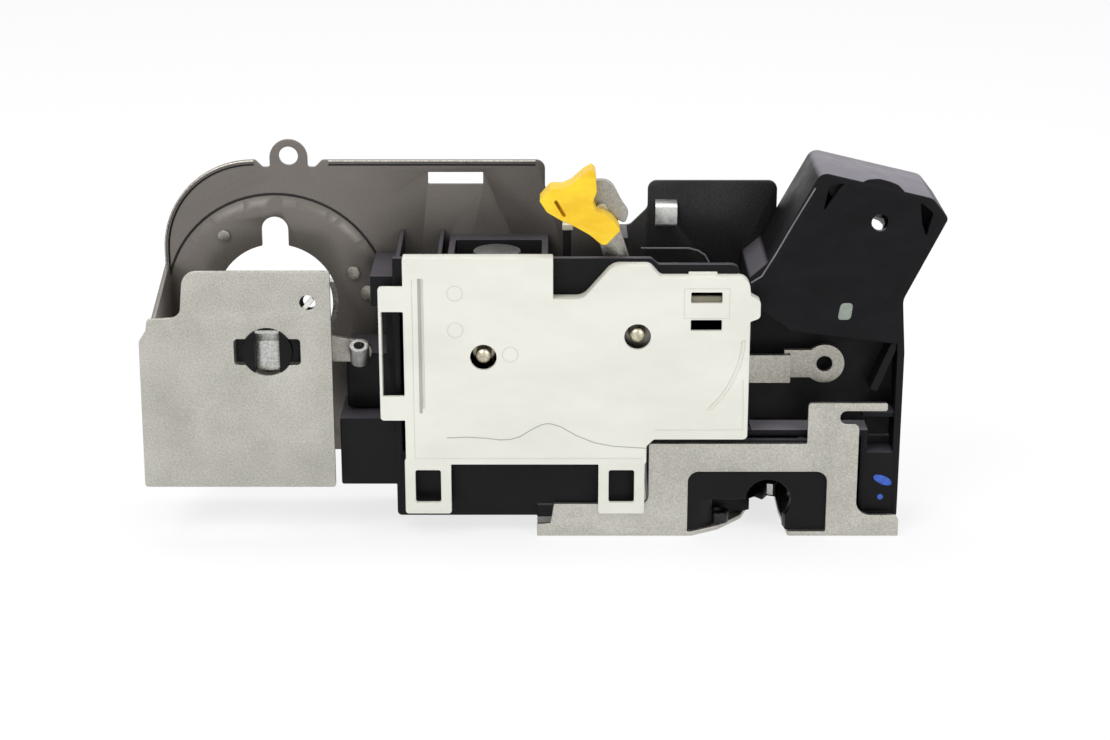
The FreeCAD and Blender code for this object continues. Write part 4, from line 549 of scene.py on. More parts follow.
@dataclass(frozen=True)
class Layer:
    """A flat layer of a piece: an outline in the XZ plane with holes, from one depth along Y to another."""

    outline: Outline
    front_y: float
    back_y: float
    holes: tuple[Outline, ...] = ()
    edge_mm: float = 0.3
    corner_mm: float = 0.8

    def add_to(self, form: bmesh.types.BMesh) -> None:
        """Fills the outlines, gives them depth and rounded edges, and adds them to a form.

        Args:
            form: The form that collects the piece's layers.
        """
        curve = bpy.data.curves.new("Layer", "CURVE")
        curve.dimensions = "2D"
        curve.fill_mode = "BOTH"
        curve.extrude = (0.5 * (self.back_y - self.front_y) - self.edge_mm) * MM
        curve.bevel_depth = self.edge_mm * MM
        curve.bevel_resolution = 2
        curve.offset = -self.edge_mm * MM
        for outline in (self.outline, *self.holes):
            points = softened(outline, self.corner_mm)
            spline = curve.splines.new("POLY")
            spline.points.add(len(points) - 1)
            for point, (x, z) in zip(spline.points, points):
                point.co = (x * MM, z * MM, 0.0, 1.0)
            spline.use_cyclic_u = True
        drawn = bpy.data.objects.new("Layer", curve)
        bpy.context.scene.collection.objects.link(drawn)
        graph = bpy.context.evaluated_depsgraph_get()
        graph.update()
        flat = bpy.data.meshes.new_from_object(drawn.evaluated_get(graph))
        middle = 0.5 * (self.front_y + self.back_y) * MM
        for vertex in flat.vertices:
            x, up, depth = vertex.co
            vertex.co = Vector((x, middle - depth, up))
        form.from_mesh(flat)
        bpy.data.objects.remove(drawn)
        bpy.data.meshes.remove(flat)


def layered_piece(name: str, layers: tuple[Layer, ...], finish: Finish) -> Object:
    """Builds a piece from flat layers.

    Args:
        name: The piece's name.
        layers: Its layers.
        finish: Its finish.

    Returns:
        The piece.
    """
    form = bmesh.new()
    for layer in layers:
        layer.add_to(form)
    bmesh.ops.remove_doubles(form, verts=form.verts, dist=LAYER_WELD_MM * MM)
    bmesh.ops.recalc_face_normals(form, faces=form.faces)
    mesh = bpy.data.meshes.new(name)
    form.to_mesh(mesh)
    form.free()
    smooth(mesh)
    return mesh_piece(name, mesh, finish)


class GrownForm:
    """A form grown by geometry nodes from named sizes, at each of a row of places."""

    sharp_deg: float = 35.0

    def __init__(self, name: str) -> None:
        """Starts the node tree.

        Args:
            name: The tree's name.
        """
        self.name = name
        self.tree = bpy.data.node_groups.new(name, "GeometryNodeTree")
        self.tree.interface.new_socket("Places", in_out="INPUT", socket_type="NodeSocketGeometry")
        self.tree.interface.new_socket("Form", in_out="OUTPUT", socket_type="NodeSocketGeometry")
        self.entry = self.tree.nodes.new("NodeGroupInput")
        self.settings: dict[str, float] = {}

    def size(self, label: str, value_mm: float) -> NodeSocket:
        """Adds a named size.

        Args:
            label: The size's name.
            value_mm: Its value in millimetres.

        Returns:
            The socket that carries it, in metres.
        """
        item = self.tree.interface.new_socket(label, in_out="INPUT", socket_type="NodeSocketFloat")
        self.settings[item.identifier] = value_mm * MM
        return next(socket for socket in self.entry.outputs if socket.identifier == item.identifier)

    def moved(self, form: NodeSocket, place: dict[str, float | NodeSocket],
              turn_deg: Triple = (0.0, 0.0, 0.0)) -> NodeSocket:
        """Moves and turns a form.

        Args:
            form: The form.
            place: Shift along X, Y and Z; what isn't given is 0.
            turn_deg: Turn about X, Y and Z.

        Returns:
            The moved form.
        """
        shift = add_node(self.tree, "ShaderNodeCombineXYZ", inputs=place)
        turned = add_node(self.tree, "GeometryNodeTransform", inputs={
            "Geometry": form, "Translation": shift.outputs[0],
            "Rotation": tuple(math.radians(angle) for angle in turn_deg)})
        return turned.outputs[0]

    def grow(self, form: NodeSocket, places_mm: list[Triple], finish: Finish,
             edges: list[tuple[int, int]] | None = None) -> Object:
        """Grows the form and keeps it as plain mesh.

        Args:
            form: The finished form.
            places_mm: Places of the copies in the part's frame.
            finish: The piece's finish.
            edges: Pairs of places that a path joins.

        Returns:
            The piece.
        """
        real = add_node(self.tree, "GeometryNodeRealizeInstances", inputs={"Geometry": form})
        coated = add_node(self.tree, "GeometryNodeSetMaterial", inputs={
            "Geometry": real.outputs[0], "Material": finish.material()})
        add_node(self.tree, "NodeGroupOutput", inputs={0: coated.outputs[0]})
        mesh = bpy.data.meshes.new(self.name)
        mesh.from_pydata([[MM * value for value in place] for place in places_mm], edges or [], [])
        piece = mesh_piece(self.name, mesh, finish)
        modifier = piece.modifiers.new("Grown", "NODES")
        modifier.node_group = self.tree
        for identifier, value in self.settings.items():
            modifier[identifier] = value
        settle(piece)
        smooth(piece.data, self.sharp_deg)
        return piece


def beaded(name: str, paths: tuple[Path, ...], radius_mm: float, finish: Finish, closed: bool = False) -> Object:
    """Grows a round bead along each path.

    Args:
        name: The piece's name.
        paths: Points of the paths in millimetres.
        radius_mm: The bead's radius.
        finish: The bead's finish.
        closed: Whether each path runs back to its start.

    Returns:
        The piece.
    """
    places, edges = [], []
    for path in paths:
        first = len(places)
        places.extend(path)
        edges.extend((index, index + 1) for index in range(first, len(places) - 1))
        if closed:
            edges.append((len(places) - 1, first))
    form = GrownForm(name)
    line = add_node(form.tree, "GeometryNodeMeshToCurve", inputs={"Mesh": form.entry.outputs[0]})
    bead = add_node(form.tree, "GeometryNodeCurvePrimitiveCircle", {"mode": "RADIUS"}, {
        "Resolution": 10, "Radius": form.size("Bead radius", radius_mm)})
    tube = add_node(form.tree, "GeometryNodeCurveToMesh", inputs={
        "Curve": line.outputs[0], "Profile Curve": bead.outputs[0], "Fill Caps": True})
    return form.grow(tube.outputs[0], places, finish, edges)


@dataclass(frozen=True)
class Dressing:
    """How one solid is shown: with an edge, by a rounded copy; with none, as it is."""

    node: str
    finish: Finish
    slot: str = ""
    edge_mm: float = 0.0


@dataclass(frozen=True)
class Assembly:
    """A sub-assembly: solids of the frame that move together."""

    title: str
    body: str
    dressings: tuple[Dressing, ...]

    def dress(self) -> None:
        """Gives each solid its finish, or replaces it with a copy that has rounded edges."""
        for item in self.dressings:
            if item.edge_mm <= 0.0:
                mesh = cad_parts[item.node].data
                mesh.materials.clear()
                mesh.materials.append(item.finish.material())
                LOG.info("%s: %s finished as %s", self.title, item.node, item.finish.value.name)
                continue
            piece = rounded_copy(item.node, item.node + "_shown", item.edge_mm, item.finish)
            self.place(piece, item.slot, item.node)

    def place(self, piece: Object, slot: str, *nodes: str) -> None:
        """Makes a piece ride on the assembly's body.

        Args:
            piece: The piece.
            slot: Name of the record's slot for the piece; not used.
            nodes: Solids that it stands for.
        """
        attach(piece, self.body)
        if nodes:
            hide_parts(*nodes)
        LOG.info("%s: %s, %d faces", self.title, piece.name, len(piece.data.polygons))


def seen_rays(tree: NodeTree) -> NodeSocket:
    """Tells the rays by which the camera sees a surface from those that light the object.

    Args:
        tree: The material's node tree.

    Returns:
        A value of 1 where the camera looks straight, by a reflection or through something.
    """
    ray = add_node(tree, "ShaderNodeLightPath")
    seen = ray.outputs["Is Camera Ray"]
    for kind in ("Is Transmission Ray", "Is Glossy Ray"):
        either = add_node(tree, "ShaderNodeMath", {"operation": "MAXIMUM"}, {0: seen, 1: ray.outputs[kind]})
        seen = either.outputs[0]
    return seen


@dataclass(frozen=True)
class Studio:
    """Pale floor, soft lamps and the camera at the photograph's angle."""

    tilt_deg: float = 19.0
    lens_mm: float = 76.7
    camera_place: Triple = (0.005, -0.7460, 0.3092)
    floor_size: float = 6.0
    floor_colour: str = "#fbfbfd"
    floor_glow: float = 0.75
    world_glow: float = 0.55
    aim: Triple = (0.0, 0.0, 0.06)
    lamps: tuple[tuple[str, Triple, Pair, float], ...] = (
        ("KeyLamp", (-0.7, -0.9, 1.3), (0.9, 0.9), 11.0),
        ("FillLamp", (0.9, -0.9, 0.8), (0.8, 0.8), 5.0),
        ("TopLamp", (0.0, 0.4, 1.4), (1.2, 0.6), 7.0))

    def build(self) -> None:
        """Builds floor, world, lamps and camera."""
        self.add_floor()
        self.add_world()
        self.add_lamps()
        self.add_camera()

    def add_floor(self) -> None:
        """A plain pale floor, a hair below the object, that the camera and mirrors see as a white sweep."""
        mesh = bpy.data.meshes.new("Floor")
        half = self.floor_size / 2.0
        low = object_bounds()[0].z - 0.2 * MM
        corners = [(-half, -half, low), (half, -half, low), (half, half, low), (-half, half, low)]
        mesh.from_pydata(corners, [], [(0, 1, 2, 3)])
        floor = bpy.data.objects.new("Floor", mesh)
        bpy.context.scene.collection.objects.link(floor)
        material, tree, shader = new_material("pale_floor")
        set_inputs(shader, {"Base Color": linear(self.floor_colour), "Roughness": 0.9})
        glow = add_node(tree, "ShaderNodeEmission", inputs={"Color": (1, 1, 1, 1), "Strength": 1.0})
        share = add_node(tree, "ShaderNodeMath", {"operation": "MULTIPLY"}, {
            0: seen_rays(tree), 1: self.floor_glow})
        mixed = add_node(tree, "ShaderNodeMixShader", inputs={
            0: share.outputs[0], 1: shader.outputs[0], 2: glow.outputs[0]})
        set_inputs(tree.nodes["Material Output"], {"Surface": mixed.outputs[0]})
        mesh.materials.append(material)
        floor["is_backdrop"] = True

    def add_world(self) -> None:
        """White surroundings: full white to the camera and to reflections, plain light to the object."""
        world = bpy.data.worlds.new("Surroundings")
        bpy.context.scene.world = world
        world.use_nodes = True
        tree = world.node_tree
        tree.nodes.clear()
        light, white = (add_node(tree, "ShaderNodeBackground", inputs={"Color": (1, 1, 1, 1), "Strength": glow})
                        for glow in (self.world_glow, 1.0))
        mixed = add_node(tree, "ShaderNodeMixShader", inputs={
            0: seen_rays(tree), 1: light.outputs[0], 2: white.outputs[0]})
        add_node(tree, "ShaderNodeOutputWorld", inputs={"Surface": mixed.outputs[0]})

    def add_lamps(self) -> None:
        """Adds the soft boxes, aimed at the object."""
        for name, place, (width, height), power in self.lamps:
            data = bpy.data.lights.new(name, "AREA")
            data.shape = "RECTANGLE"
            data.size, data.size_y = width, height
            data.energy = power
            lamp = bpy.data.objects.new(name, data)
            lamp.location = place
            lamp.rotation_euler = (Vector(self.aim) - Vector(place)).to_track_quat("-Z", "Y").to_euler()
            bpy.context.scene.collection.objects.link(lamp)

    def add_camera(self) -> None:
        """Adds the camera at the photograph's place."""
        data = bpy.data.cameras.new("PhotoCamera")
        data.lens = self.lens_mm
        data.sensor_fit = "HORIZONTAL"
        data.clip_start = 0.05
        camera = bpy.data.objects.new("PhotoCamera", data)
        camera.location = self.camera_place
        camera.rotation_euler = (math.radians(90.0 - self.tilt_deg), 0.0, 0.0)
        bpy.context.scene.collection.objects.link(camera)
        bpy.context.scene.camera = camera
        bpy.context.scene.view_settings.view_transform = "Standard"


@dataclass(frozen=True)
class CaseScrews:
    """The four screws that hold the actuator case from behind, with a cross in each head."""

    assembly: Assembly
    places: Outline = ((-42.2, 11.5), (29.1, 11.5), (-42.2, 78.7), (61.7, 78.7))
    back_y: float = 19.5
    head_radius: float = 3.6
    head_height: float = 2.0
    crown_radius: float = 2.9
    shank_radius: float = 1.88
    shank_length: float = 11.8
    cross_length: float = 4.0
    cross_width: float = 0.9
    cross_depth: float = 1.3
    seed: int = 11

    def build(self) -> None:
        """Grows the screws in place of the plain ones."""
        form = GrownForm("case_screws_shown")
        height = form.size("Head height", self.head_height)
        head = add_node(form.tree, "GeometryNodeMeshCone", inputs={
            "Vertices": 48, "Side Segments": 1, "Radius Top": form.size("Crown radius", self.crown_radius),
            "Radius Bottom": form.size("Head radius", self.head_radius), "Depth": height})
        bar_size = add_node(form.tree, "ShaderNodeCombineXYZ", inputs={
            "X": form.size("Cross length", self.cross_length), "Y": form.size("Cross width", self.cross_width),
            "Z": form.size("Cross depth", 2.0 * self.cross_depth)})
        bar = add_node(form.tree, "GeometryNodeMeshCube", inputs={"Size": bar_size.outputs[0]})
        bars = [form.moved(bar.outputs[0], {"Z": height}, (0.0, 0.0, turn)) for turn in (0.0, 90.0)]
        cut = add_node(form.tree, "GeometryNodeMeshBoolean", {"operation": "DIFFERENCE"}, {
            "Mesh 1": head.outputs[0], "Mesh 2": bars})
        shank = add_node(form.tree, "GeometryNodeMeshCylinder", inputs={
            "Vertices": 32, "Radius": form.size("Shank radius", self.shank_radius),
            "Depth": form.size("Shank length", self.shank_length)})
        low = form.moved(shank.outputs[0], {"Z": -0.5 * self.shank_length * MM + 0.01 * MM})
        spin = add_node(form.tree, "FunctionNodeRandomValue", {"data_type": "FLOAT"}, {
            2: 0.0, 3: math.radians(90.0), "Seed": self.seed})
        turn = add_node(form.tree, "ShaderNodeCombineXYZ", inputs={
            "X": math.radians(-90.0), "Y": spin.outputs[1]})
        screw = add_node(form.tree, "GeometryNodeJoinGeometry", inputs={0: [cut.outputs[0], low]})
        screws = add_node(form.tree, "GeometryNodeInstanceOnPoints", inputs={
            "Points": form.entry.outputs[0], "Instance": screw.outputs[0], "Rotation": turn.outputs[0]})
        piece = form.grow(screws.outputs[0], [(x, self.back_y, z) for x, z in self.places], Finish.BRIGHT_ZINC)
        self.assembly.place(piece, "zinc_steel", "case_screws")


@dataclass(frozen=True)
class Terminals:
    """The row of pointed brass blades in the connector socket."""

    assembly: Assembly
    start: tuple[float, float, float] = (-53.0, -1.5, 28.3)
    count: int = 4
    pitch: float = 4.0
    side: float = 0.8
    length: float = 10.0
    point: float = 0.9
    blunt: float = 0.35

    def build(self) -> None:
        """Grows the blades in place of the plain ones."""
        form = GrownForm("connector_terminals_shown")
        side, point = form.size("Side", self.side), form.size("Point", self.point)
        straight = (self.length - self.point) * MM
        bar_size = add_node(form.tree, "ShaderNodeCombineXYZ", inputs={"X": straight, "Y": side, "Z": side})
        bar = add_node(form.tree, "GeometryNodeMeshCube", inputs={"Size": bar_size.outputs[0]})
        shaft = form.moved(bar.outputs[0], {"X": -0.5 * straight})
        half_diagonal = self.side * MM * math.sqrt(0.5)
        tip = add_node(form.tree, "GeometryNodeMeshCone", inputs={
            "Vertices": 4, "Radius Top": half_diagonal * self.blunt, "Radius Bottom": half_diagonal,
            "Depth": point})
        square = form.moved(tip.outputs[0], {}, (0.0, 0.0, 45.0))
        end = form.moved(square, {"X": -straight}, (0.0, -90.0, 0.0))
        blade = add_node(form.tree, "GeometryNodeJoinGeometry", inputs={0: [shaft, end]})
        blades = add_node(form.tree, "GeometryNodeInstanceOnPoints", inputs={
            "Points": form.entry.outputs[0], "Instance": blade.outputs[0]})
        x, y, z = self.start
        places = [(x, y, z + (index - (self.count - 1) / 2.0) * self.pitch) for index in range(self.count)]
        piece = form.grow(blades.outputs[0], places, Finish.BRASS)
        self.assembly.place(piece, "brass", "connector_terminals")


@dataclass(frozen=True)
class Cover:
    """The white cover, with fine grey lines of painted shade along the steps, grooves and marks of its face."""

    assembly: Assembly
    face_y: float = -20.5
    line_height: float = 0.08
    line_radius: float = 0.26
    wave: Outline = (
        (-30.4, 35.8), (-24.0, 36.1), (-17.5, 35.7), (-13.0, 35.1), (-9.5, 35.3), (-6.5, 36.2), (-2.7, 38.7),
        (0.6, 40.4), (2.3, 40.8), (3.9, 40.7), (7.1, 39.6), (12.0, 36.6), (18.0, 34.1), (24.0, 32.9), (34.9, 32.2))
    seam: Outline = ((-41.0, 90.0), (-41.0, 28.6), (33.6, 28.6))
    step: Outline = ((66.1, 55.9), (66.5, 38.6), (37.7, 38.6))
    window: Outline = ((46.6, 76.9), (46.6, 86.9), (61.2, 86.9), (61.2, 76.9))
    marks: Outline = ((-27.2, 85.3), (-27.2, 72.9), (-9.5, 64.6))
    mark_radius: float = 2.5
    groove: Layer = Layer(((-39.2, 44.4), (-38.2, 44.4), (-38.2, 90.3), (-39.2, 90.3)),
                          -20.48, -20.2, (), 0.05, 0.2)
    shelf: Layer = Layer(((48.9, 82.1), (58.7, 82.1), (58.7, 84.0), (48.9, 84.0)), -19.4, -17.6, (), 0.15, 0.2)
    tab: Layer = Layer(((48.0, 88.2), (57.3, 88.2), (57.3, 91.2), (48.0, 91.2)), -17.0, -15.2, (), 0.2, 0.4)

    def build(self) -> None:
        """Rounds the cover, sinks its face a hair so that the painted shade lines stand on it, and adds inserts."""
        piece = rounded_copy("actuator_cover", "actuator_cover_shown", 0.3, Finish.WHITE_ACETAL)
        sunk = (self.face_y + self.line_height) * MM
        for vertex in piece.data.vertices:
            vertex.co.y = max(vertex.co.y, sunk)
        self.assembly.place(piece, "white_moulding", "actuator_cover")
        # Grey beads of painted shade along the face's steps, groove, marks and window frame
        rings = [arc(x, z, self.mark_radius) for x, z in self.marks]
        for name, lines, finish, closed in (
                ("cover_lines", (self.wave,), Finish.SHADED_LINE, False),
                ("cover_steps", (self.step, self.seam), Finish.FAINT_SHADE_LINE, False),
                ("cover_rings", (*rings, self.window), Finish.FAINT_SHADE_LINE, True)):
            paths = at_depth(self.face_y + self.line_radius, *lines)
            self.assembly.place(beaded(name, paths, self.line_radius, finish, closed), "white_moulding")
        # Painted shade in the groove, and the shelf painted olive grey as if in shade
        for name, layer, finish, slot in (
                ("cover_groove_shade", self.groove, Finish.SHADED_LINE, "white_moulding"),
                ("window_shelf", self.shelf, Finish.SHADED_SHELF_GREY, "gear_moulding"),
                ("cover_top_tab", self.tab, Finish.WHITE_ACETAL, "white_moulding")):
            self.assembly.place(layered_piece(name, (layer,), finish), slot)


@dataclass(frozen=True)
class RodClip:
    """The yellow clip that grips the linkage rod: a hooked outline with a slit, in two layers."""

    clip: Assembly
    lever: Assembly
    outline: Outline = (
        (0.0, 115.3), (3.6, 119.4), (7.5, 119.4), (10.2, 120.7), (13.8, 123.9), (16.5, 125.7), (17.9, 124.4),
        (18.3, 118.2), (17.0, 114.7), (18.3, 111.6), (20.9, 110.9), (23.9, 108.4), (25.9, 105.6), (21.5, 100.8),
        (19.8, 100.9), (16.1, 104.1), (11.7, 106.6), (9.2, 107.9), (7.3, 108.6), (2.4, 111.6))
    slit: Outline = ((4.6, 115.0), (5.5, 115.6), (8.6, 110.4), (7.7, 109.8))
    front: Pair = (-18.2, -14.5)
    back: Pair = (-15.0, -9.4)
    tab: Layer = Layer((
        (14.0, 110.0), (15.6, 120.0), (21.5, 119.9), (23.5, 118.6), (25.0, 115.8), (26.2, 113.3), (28.9, 109.2),
        (27.6, 105.4), (24.3, 107.2), (20.0, 106.5)), -9.2, -6.8, (), 0.3, 1.5)

    def build(self) -> None:
        """Builds the clip, with its slit in the front layer alone, and the lever's tab."""
        layers = tuple(Layer(self.outline, *depths, holes, edge_mm=0.35, corner_mm=0.5)
                       for depths, holes in ((self.front, (self.slit,)), (self.back, ())))
        clip = layered_piece("rod_clip_shown", layers, Finish.YELLOW_ACETAL)
        self.clip.place(clip, "yellow_moulding", "rod_clip")
        self.lever.place(layered_piece("lock_lever_tab", (self.tab,), Finish.ZINC_LEVER), "zinc_steel")


@dataclass(frozen=True)
class ArmFace:
    """The frame's arm: its closed front face with sunk pockets, the rib below and the lower panel."""

    assembly: Assembly
    front_y: float = -13.9
    back_y: float = -12.2
    outline: Outline = (
        (68.2, 80.0), (82.0, 70.5), (116.8, 66.0), (116.8, 81.2), (129.6, 108.2), (125.0, 113.9), (117.3, 116.6),
        (114.4, 119.6), (112.0, 120.6), (108.4, 121.6), (104.9, 121.4), (102.4, 120.2), (96.0, 121.4), (90.6, 122.4),
        (74.8, 93.2), (68.2, 87.0))
    pockets: tuple[Outline, ...] = (
        ((90.9, 110.6), (92.6, 119.1), (97.4, 120.0), (95.3, 117.2)),
        ((121.9, 113.9), (126.2, 110.2), (124.3, 102.3), (122.8, 106.6)))
    hole: tuple[float, float, float] = (109.3, 107.4, 2.75)
    hole_drop: float = 0.4
    sight_deg: float = 19.0
    sight_ends_y: Pair = (-17.9, 22.0)
    panel: Layer = Layer(((106.4, 6.4), (118.0, 6.4), (118.0, 28.4), (106.4, 28.4)), -13.9, -5.2, (), 0.4, 0.8)
    shelf: Layer = Layer(((106.4, 40.4), (118.0, 40.4), (118.0, 42.1), (106.4, 42.1)),
                         -13.0, -5.2, (), 0.3, 0.5)
    rib: Layer = Layer(((115.0, 66.6), (116.8, 66.6), (116.8, 64.0), (111.0, 49.2), (108.2, 50.0)),
                       -13.2, -5.2, (), 0.5, 0.8)
    pill: Layer = Layer(((96.6, 74.2), (97.6, 80.2), (101.9, 80.2), (101.2, 74.2)), -14.0, -7.2, (), 0.4, 1.6)

    def build(self) -> None:
        """Cuts the sight hole through the boss and adds the face, the ribs with the panel, and the pill."""
        x, z, radius = self.hole
        frame_copy = rounded_copy("latch_frame", "latch_frame_shown", 0.4, Finish.ARM_NYLON)
        slope = math.tan(math.radians(self.sight_deg))
        path = tuple((x, y, z - (y - self.front_y) * slope) for y in self.sight_ends_y)
        cutter = beaded("sight_hole", (path,), radius, Finish.BLACK_NYLON)
        cut = frame_copy.modifiers.new("Cut", "BOOLEAN")
        cut.operation = "DIFFERENCE"
        cut.solver = "EXACT"
        cut.object = cutter
        settle(frame_copy)
        bpy.data.objects.remove(cutter)
        smooth(frame_copy.data)
        self.assembly.place(frame_copy, "black_moulding", "latch_frame")
        holes = (*self.pockets, arc(x, z - self.hole_drop, radius))
        face = Layer(self.outline, self.front_y, self.back_y, holes, edge_mm=0.25)
        for name, layers, finish, slot in (
                ("arm_face", (face,), Finish.MATT_NYLON, "black_moulding"),
                ("arm_ribs", (self.panel, self.shelf, self.rib), Finish.BLACK_NYLON, "black_moulding"),
                ("arm_pill", (self.pill,), Finish.PILL_GREY, "gear_moulding")):
            self.assembly.place(layered_piece(name, layers, finish), slot)


@dataclass(frozen=True)
class Rims:
    """Thin grey rims where the housing's edges catch the light, and the small forms behind the cover."""

    assembly: Assembly
    radius: float = 0.34
    arm_y: float = -13.8
    arm: Outline = ((68.3, 86.9), (71.8, 89.2), (76.1, 96.6), (81.6, 106.9), (88.1, 118.5))
    rib_y: float = 12.0
    rib: Outline = ((33.6, 91.1), (49.4, 91.1), (52.6, 90.3), (55.0, 88.7), (56.4, 86.3))
    fins: tuple[Layer, ...] = (
        Layer(((43.4, 84.0), (44.8, 84.0), (44.8, 91.6), (43.4, 91.6)), -14.9, -6.0, (), 0.2, 0.3),
        Layer(((60.6, 84.0), (61.5, 84.0), (61.5, 91.6), (60.6, 91.6)), -14.9, -6.0, (), 0.2, 0.3))
    foot: Layer = Layer(((7.4, 98.4), (11.0, 98.4), (11.0, 100.6), (7.4, 100.6)), 7.4, 11.4, (), 0.4, 0.6)

    def build(self) -> None:
        """Grows the rims and adds the fins and the post's foot."""
        # Painted highlight: grey beads where the housing's edges catch the light
        for name, y, line in (("housing_rims", self.rib_y, self.rib), ("arm_rim", self.arm_y, self.arm)):
            rim = beaded(name, at_depth(y, line), self.radius, Finish.LIT_RIM_NYLON)
            self.assembly.place(rim, "black_moulding")
        self.assembly.place(layered_piece("case_fins", self.fins, Finish.BLACK_NYLON), "black_moulding")
        self.assembly.place(layered_piece("post_foot", (self.foot,), Finish.NATURAL_ACETAL), "gear_moulding")


@dataclass(frozen=True)
class CarrierLines:
    """The painted highlight on the carrier's edge with the painted shade inside it, the painted shade along the
    dish's fold, and the key plate's tongue.
    """

    assembly: Assembly
    left: float = -126.1
    top: float = 119.7
    corner: float = 30.8
    foot_z: float = 80.0
    ear_left: float = -95.0
    ear_right: float = -70.2
    right: float = -1.5
    face_y: float = 18.0
    bead: float = 0.4
    shade_inset: float = 1.5
    dish: Triple = (-88.5, 70.9, 37.3)
    tongue: Layer = Layer(((-77.1, 78.8), (-76.0, 77.6), (-72.8, 81.6), (-73.9, 82.8)),
                          -15.5, -14.3, (), 0.2, 0.3)
    buffer_outer: Triple = (-75.2, 80.0, 3.3)
    buffer_inner: Triple = (-74.3, 80.9, 2.4)
    buffer_front: float = -14.2
    buffer_back: float = -13.2

    def rim(self, inset: float) -> tuple[Path, ...]:
        """Paths along the plate's edge.

        Args:
            inset: How far inside the edge they run.

        Returns:
            The path round the corner and the one right of the ear.
        """
        corner = arc(self.left + self.corner, self.top - self.corner, self.corner - inset, 180.0, -5.0, 19)
        level = self.top - inset
        return at_depth(self.face_y, ((self.left + inset, self.foot_z), *corner, (self.ear_left, level)),
                        ((self.ear_right, level), (self.right, level)))

    def build(self) -> None:
        """Grows the lines and adds the tongue and the buffer seen through the key plate's round hole."""
        # Painted highlight along the plate's edge, painted shade just inside it and along the dish's fold
        fold = at_depth(self.face_y, arc(*self.dish, 15.0, 5.0, 31))
        for name, paths, radius, finish in (
                ("carrier_edge_highlight", self.rim(self.bead), self.bead, Finish.EDGE_HIGHLIGHT),
                ("carrier_edge_shade", self.rim(self.shade_inset), 0.8 * self.bead, Finish.BLACK_NYLON),
                ("carrier_dish_fold_shade", fold, 1.1 * self.bead, Finish.FOLD_SHADE)):
            self.assembly.place(beaded(name, paths, radius, finish), "black_steel")
        tongue = layered_piece("key_plate_tongue", (self.tongue,), Finish.BRIGHT_STRAP)
        self.assembly.place(tongue, "bright_steel")
        crescent = (*arc(*self.buffer_outer, 100.0, 11.0, 21), *arc(*self.buffer_inner, 320.0, -11.0, 21))
        rubber = Layer(crescent, self.buffer_front, self.buffer_back, (), 0.1, 0.05)
        self.assembly.place(layered_piece("key_plate_buffer", (rubber,), Finish.BLACK_NYLON), "black_moulding")


@dataclass(frozen=True)
class PaintMarks:
    """Two dabs of marking paint low on the frame, as inspection leaves them."""

    assembly: Assembly
    face_y: float = -13.88
    thickness: float = 0.12
    dabs: tuple[tuple[float, float, float, float, float], ...] = (
        (114.0, 18.4, 3.4, 1.5, 24.0), (113.4, 12.4, 1.0, 1.0, 0.0))

    def build(self) -> None:
        """Makes a slanted dab and a dot as flat domes on the frame's face."""
        form = bmesh.new()
        for x, z, wide, high, lean_deg in self.dabs:
            made = bmesh.ops.create_uvsphere(form, u_segments=32, v_segments=12, radius=1.0)
            turn = Matrix.Rotation(math.radians(-lean_deg), 2)
            for vertex in made["verts"]:
                across, up = turn @ Vector((vertex.co.x * wide, vertex.co.z * high))
                vertex.co = Vector((x + across, self.face_y + vertex.co.y * self.thickness, z + up)) * MM
        bmesh.ops.recalc_face_normals(form, faces=form.faces)
        mesh = bpy.data.meshes.new("inspection_paint_marks")
        form.to_mesh(mesh)
        form.free()
        mesh.shade_smooth()
        self.assembly.place(mesh_piece("inspection_paint_marks", mesh, Finish.BLUE_PAINT), "black_moulding")


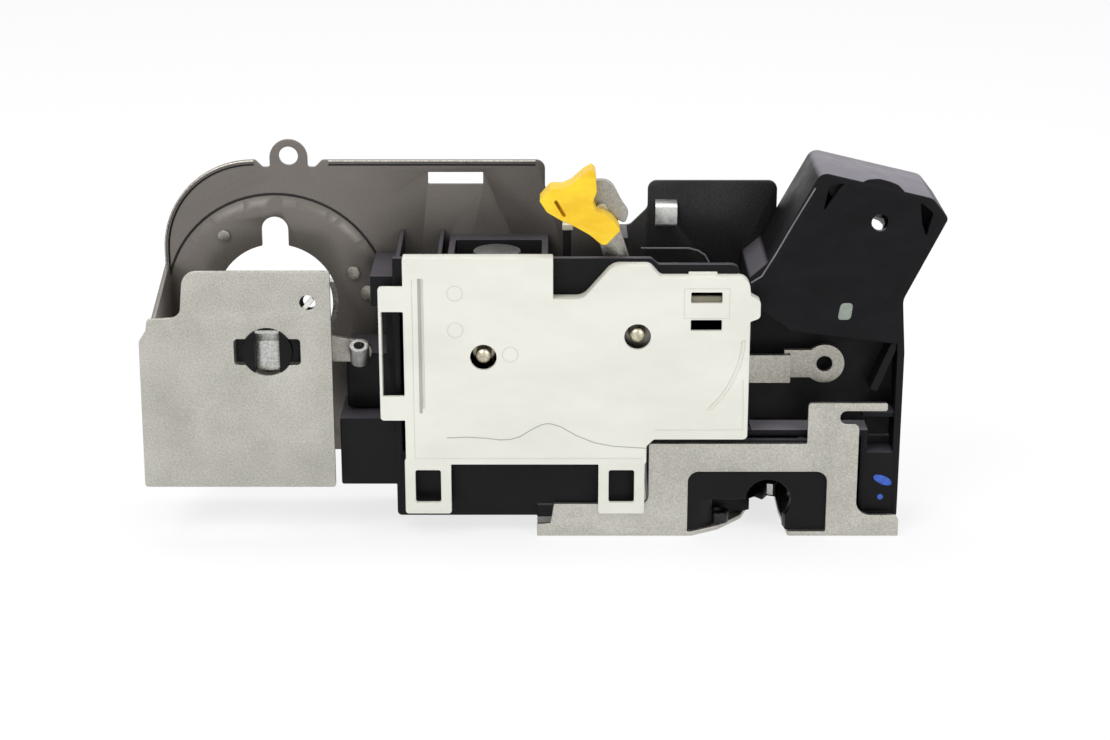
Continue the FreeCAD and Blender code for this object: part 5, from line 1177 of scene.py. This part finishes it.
# Each sub-assembly's title and body, and a Dressing's fields for each of its solids
SOLIDS = (
    ("carrier", "latch_body", (
        ("carrier_plate", Finish.BLACK_COAT, "black_steel", 0.25),
        ("key_cover_plate", Finish.ZINC_SHEET, "zinc_steel", 0.25),
        ("plate_standoffs", Finish.BRIGHT_ZINC),
        ("lock_collar", Finish.BRIGHT_ZINC, "zinc_steel", 0.3),
        ("cable_clip", Finish.BRIGHT_STRAP, "bright_steel", 0.15),
        ("carrier_rivets", Finish.ZINC_LEVER, "black_steel", 0.3))),
    ("key follower", "key_follower", (
        ("key_hub", Finish.BLACK_NYLON, "black_steel", 0.3),
        ("key_tongue", Finish.BRIGHT_ZINC, "bright_steel", 0.12),
        ("key_lever", Finish.ZINC_LEVER, "zinc_steel", 0.2),
        ("rod_eyelet", Finish.MOTOR_CAN, "bright_steel", 0.2))),
    ("actuator", "latch_body", (
        ("actuator_case", Finish.BLACK_NYLON, "black_moulding", 0.3),
        ("cover_stud", Finish.PALE_CHROMATE),
        ("position_switch", Finish.BLACK_NYLON, "black_moulding", 0.2),
        ("motor_can", Finish.MOTOR_CAN, "motor_steel", 0.4),
        ("motor_cap", Finish.MOTOR_CAN, "gear_moulding", 0.4),
        ("gear_pin", Finish.BRIGHT_ZINC))),
    ("motor drive", "motor_rotor", (("motor_shaft", Finish.BRIGHT_ZINC), ("worm", Finish.BRASS))),
    ("worm wheel", "drive_gear", (("drive_gear", Finish.NATURAL_ACETAL),)),
    ("lock lever", "lock_lever", (
        ("lock_lever", Finish.ZINC_LEVER, "zinc_steel", 0.2),
        ("clip_pin", Finish.BRIGHT_ZINC))),
    ("rod clip", "rod_clip", ()),
    ("release lever", "release_lever", (("release_lever", Finish.ZINC_LEVER, "zinc_steel", 0.25),)),
    ("latch", "latch_body", (
        ("latch_plate", Finish.ZINC_SHEET, "zinc_steel", 0.25),
        ("latch_case", Finish.BLACK_NYLON, "black_moulding", 0.3),
        ("lever_pivot_pin", Finish.PALE_CHROMATE), ("arm_pin", Finish.BRIGHT_ZINC),
        ("lever_spacer", Finish.BRIGHT_ZINC), ("claw_rivet", Finish.BRIGHT_ZINC),
        ("pawl_rivet", Finish.BRIGHT_ZINC),
        ("front_rivet", Finish.BLACK_COAT, "black_steel", 0.3),
        ("claw_spring", Finish.BRIGHT_ZINC), ("pawl_spring", Finish.BRIGHT_ZINC))),
    ("claw", "claw", (
        ("claw_core", Finish.BRIGHT_ZINC, "bright_steel", 0.15),
        ("claw_jacket", Finish.BLACK_NYLON, "black_moulding", 0.2))),
    ("pawl", "pawl", (("pawl", Finish.BRIGHT_ZINC, "bright_steel", 0.3),)),
)


def main() -> None:
    """Builds the sub-assemblies in order, then the studio."""
    logging.basicConfig(level=logging.INFO, format="%(name)s: %(message)s")
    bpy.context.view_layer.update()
    parts = {title: Assembly(title, body, tuple(Dressing(*row) for row in rows)) for title, body, rows in SOLIDS}
    for assembly in parts.values():
        assembly.dress()
    for group in (CaseScrews(parts["actuator"]), Terminals(parts["actuator"]), CarrierLines(parts["carrier"]),
                  Cover(parts["actuator"]), RodClip(parts["rod clip"], parts["lock lever"]),
                  ArmFace(parts["latch"]), Rims(parts["latch"]), PaintMarks(parts["latch"]), Studio()):
        group.build()


if __name__ == "__main__":
    main()
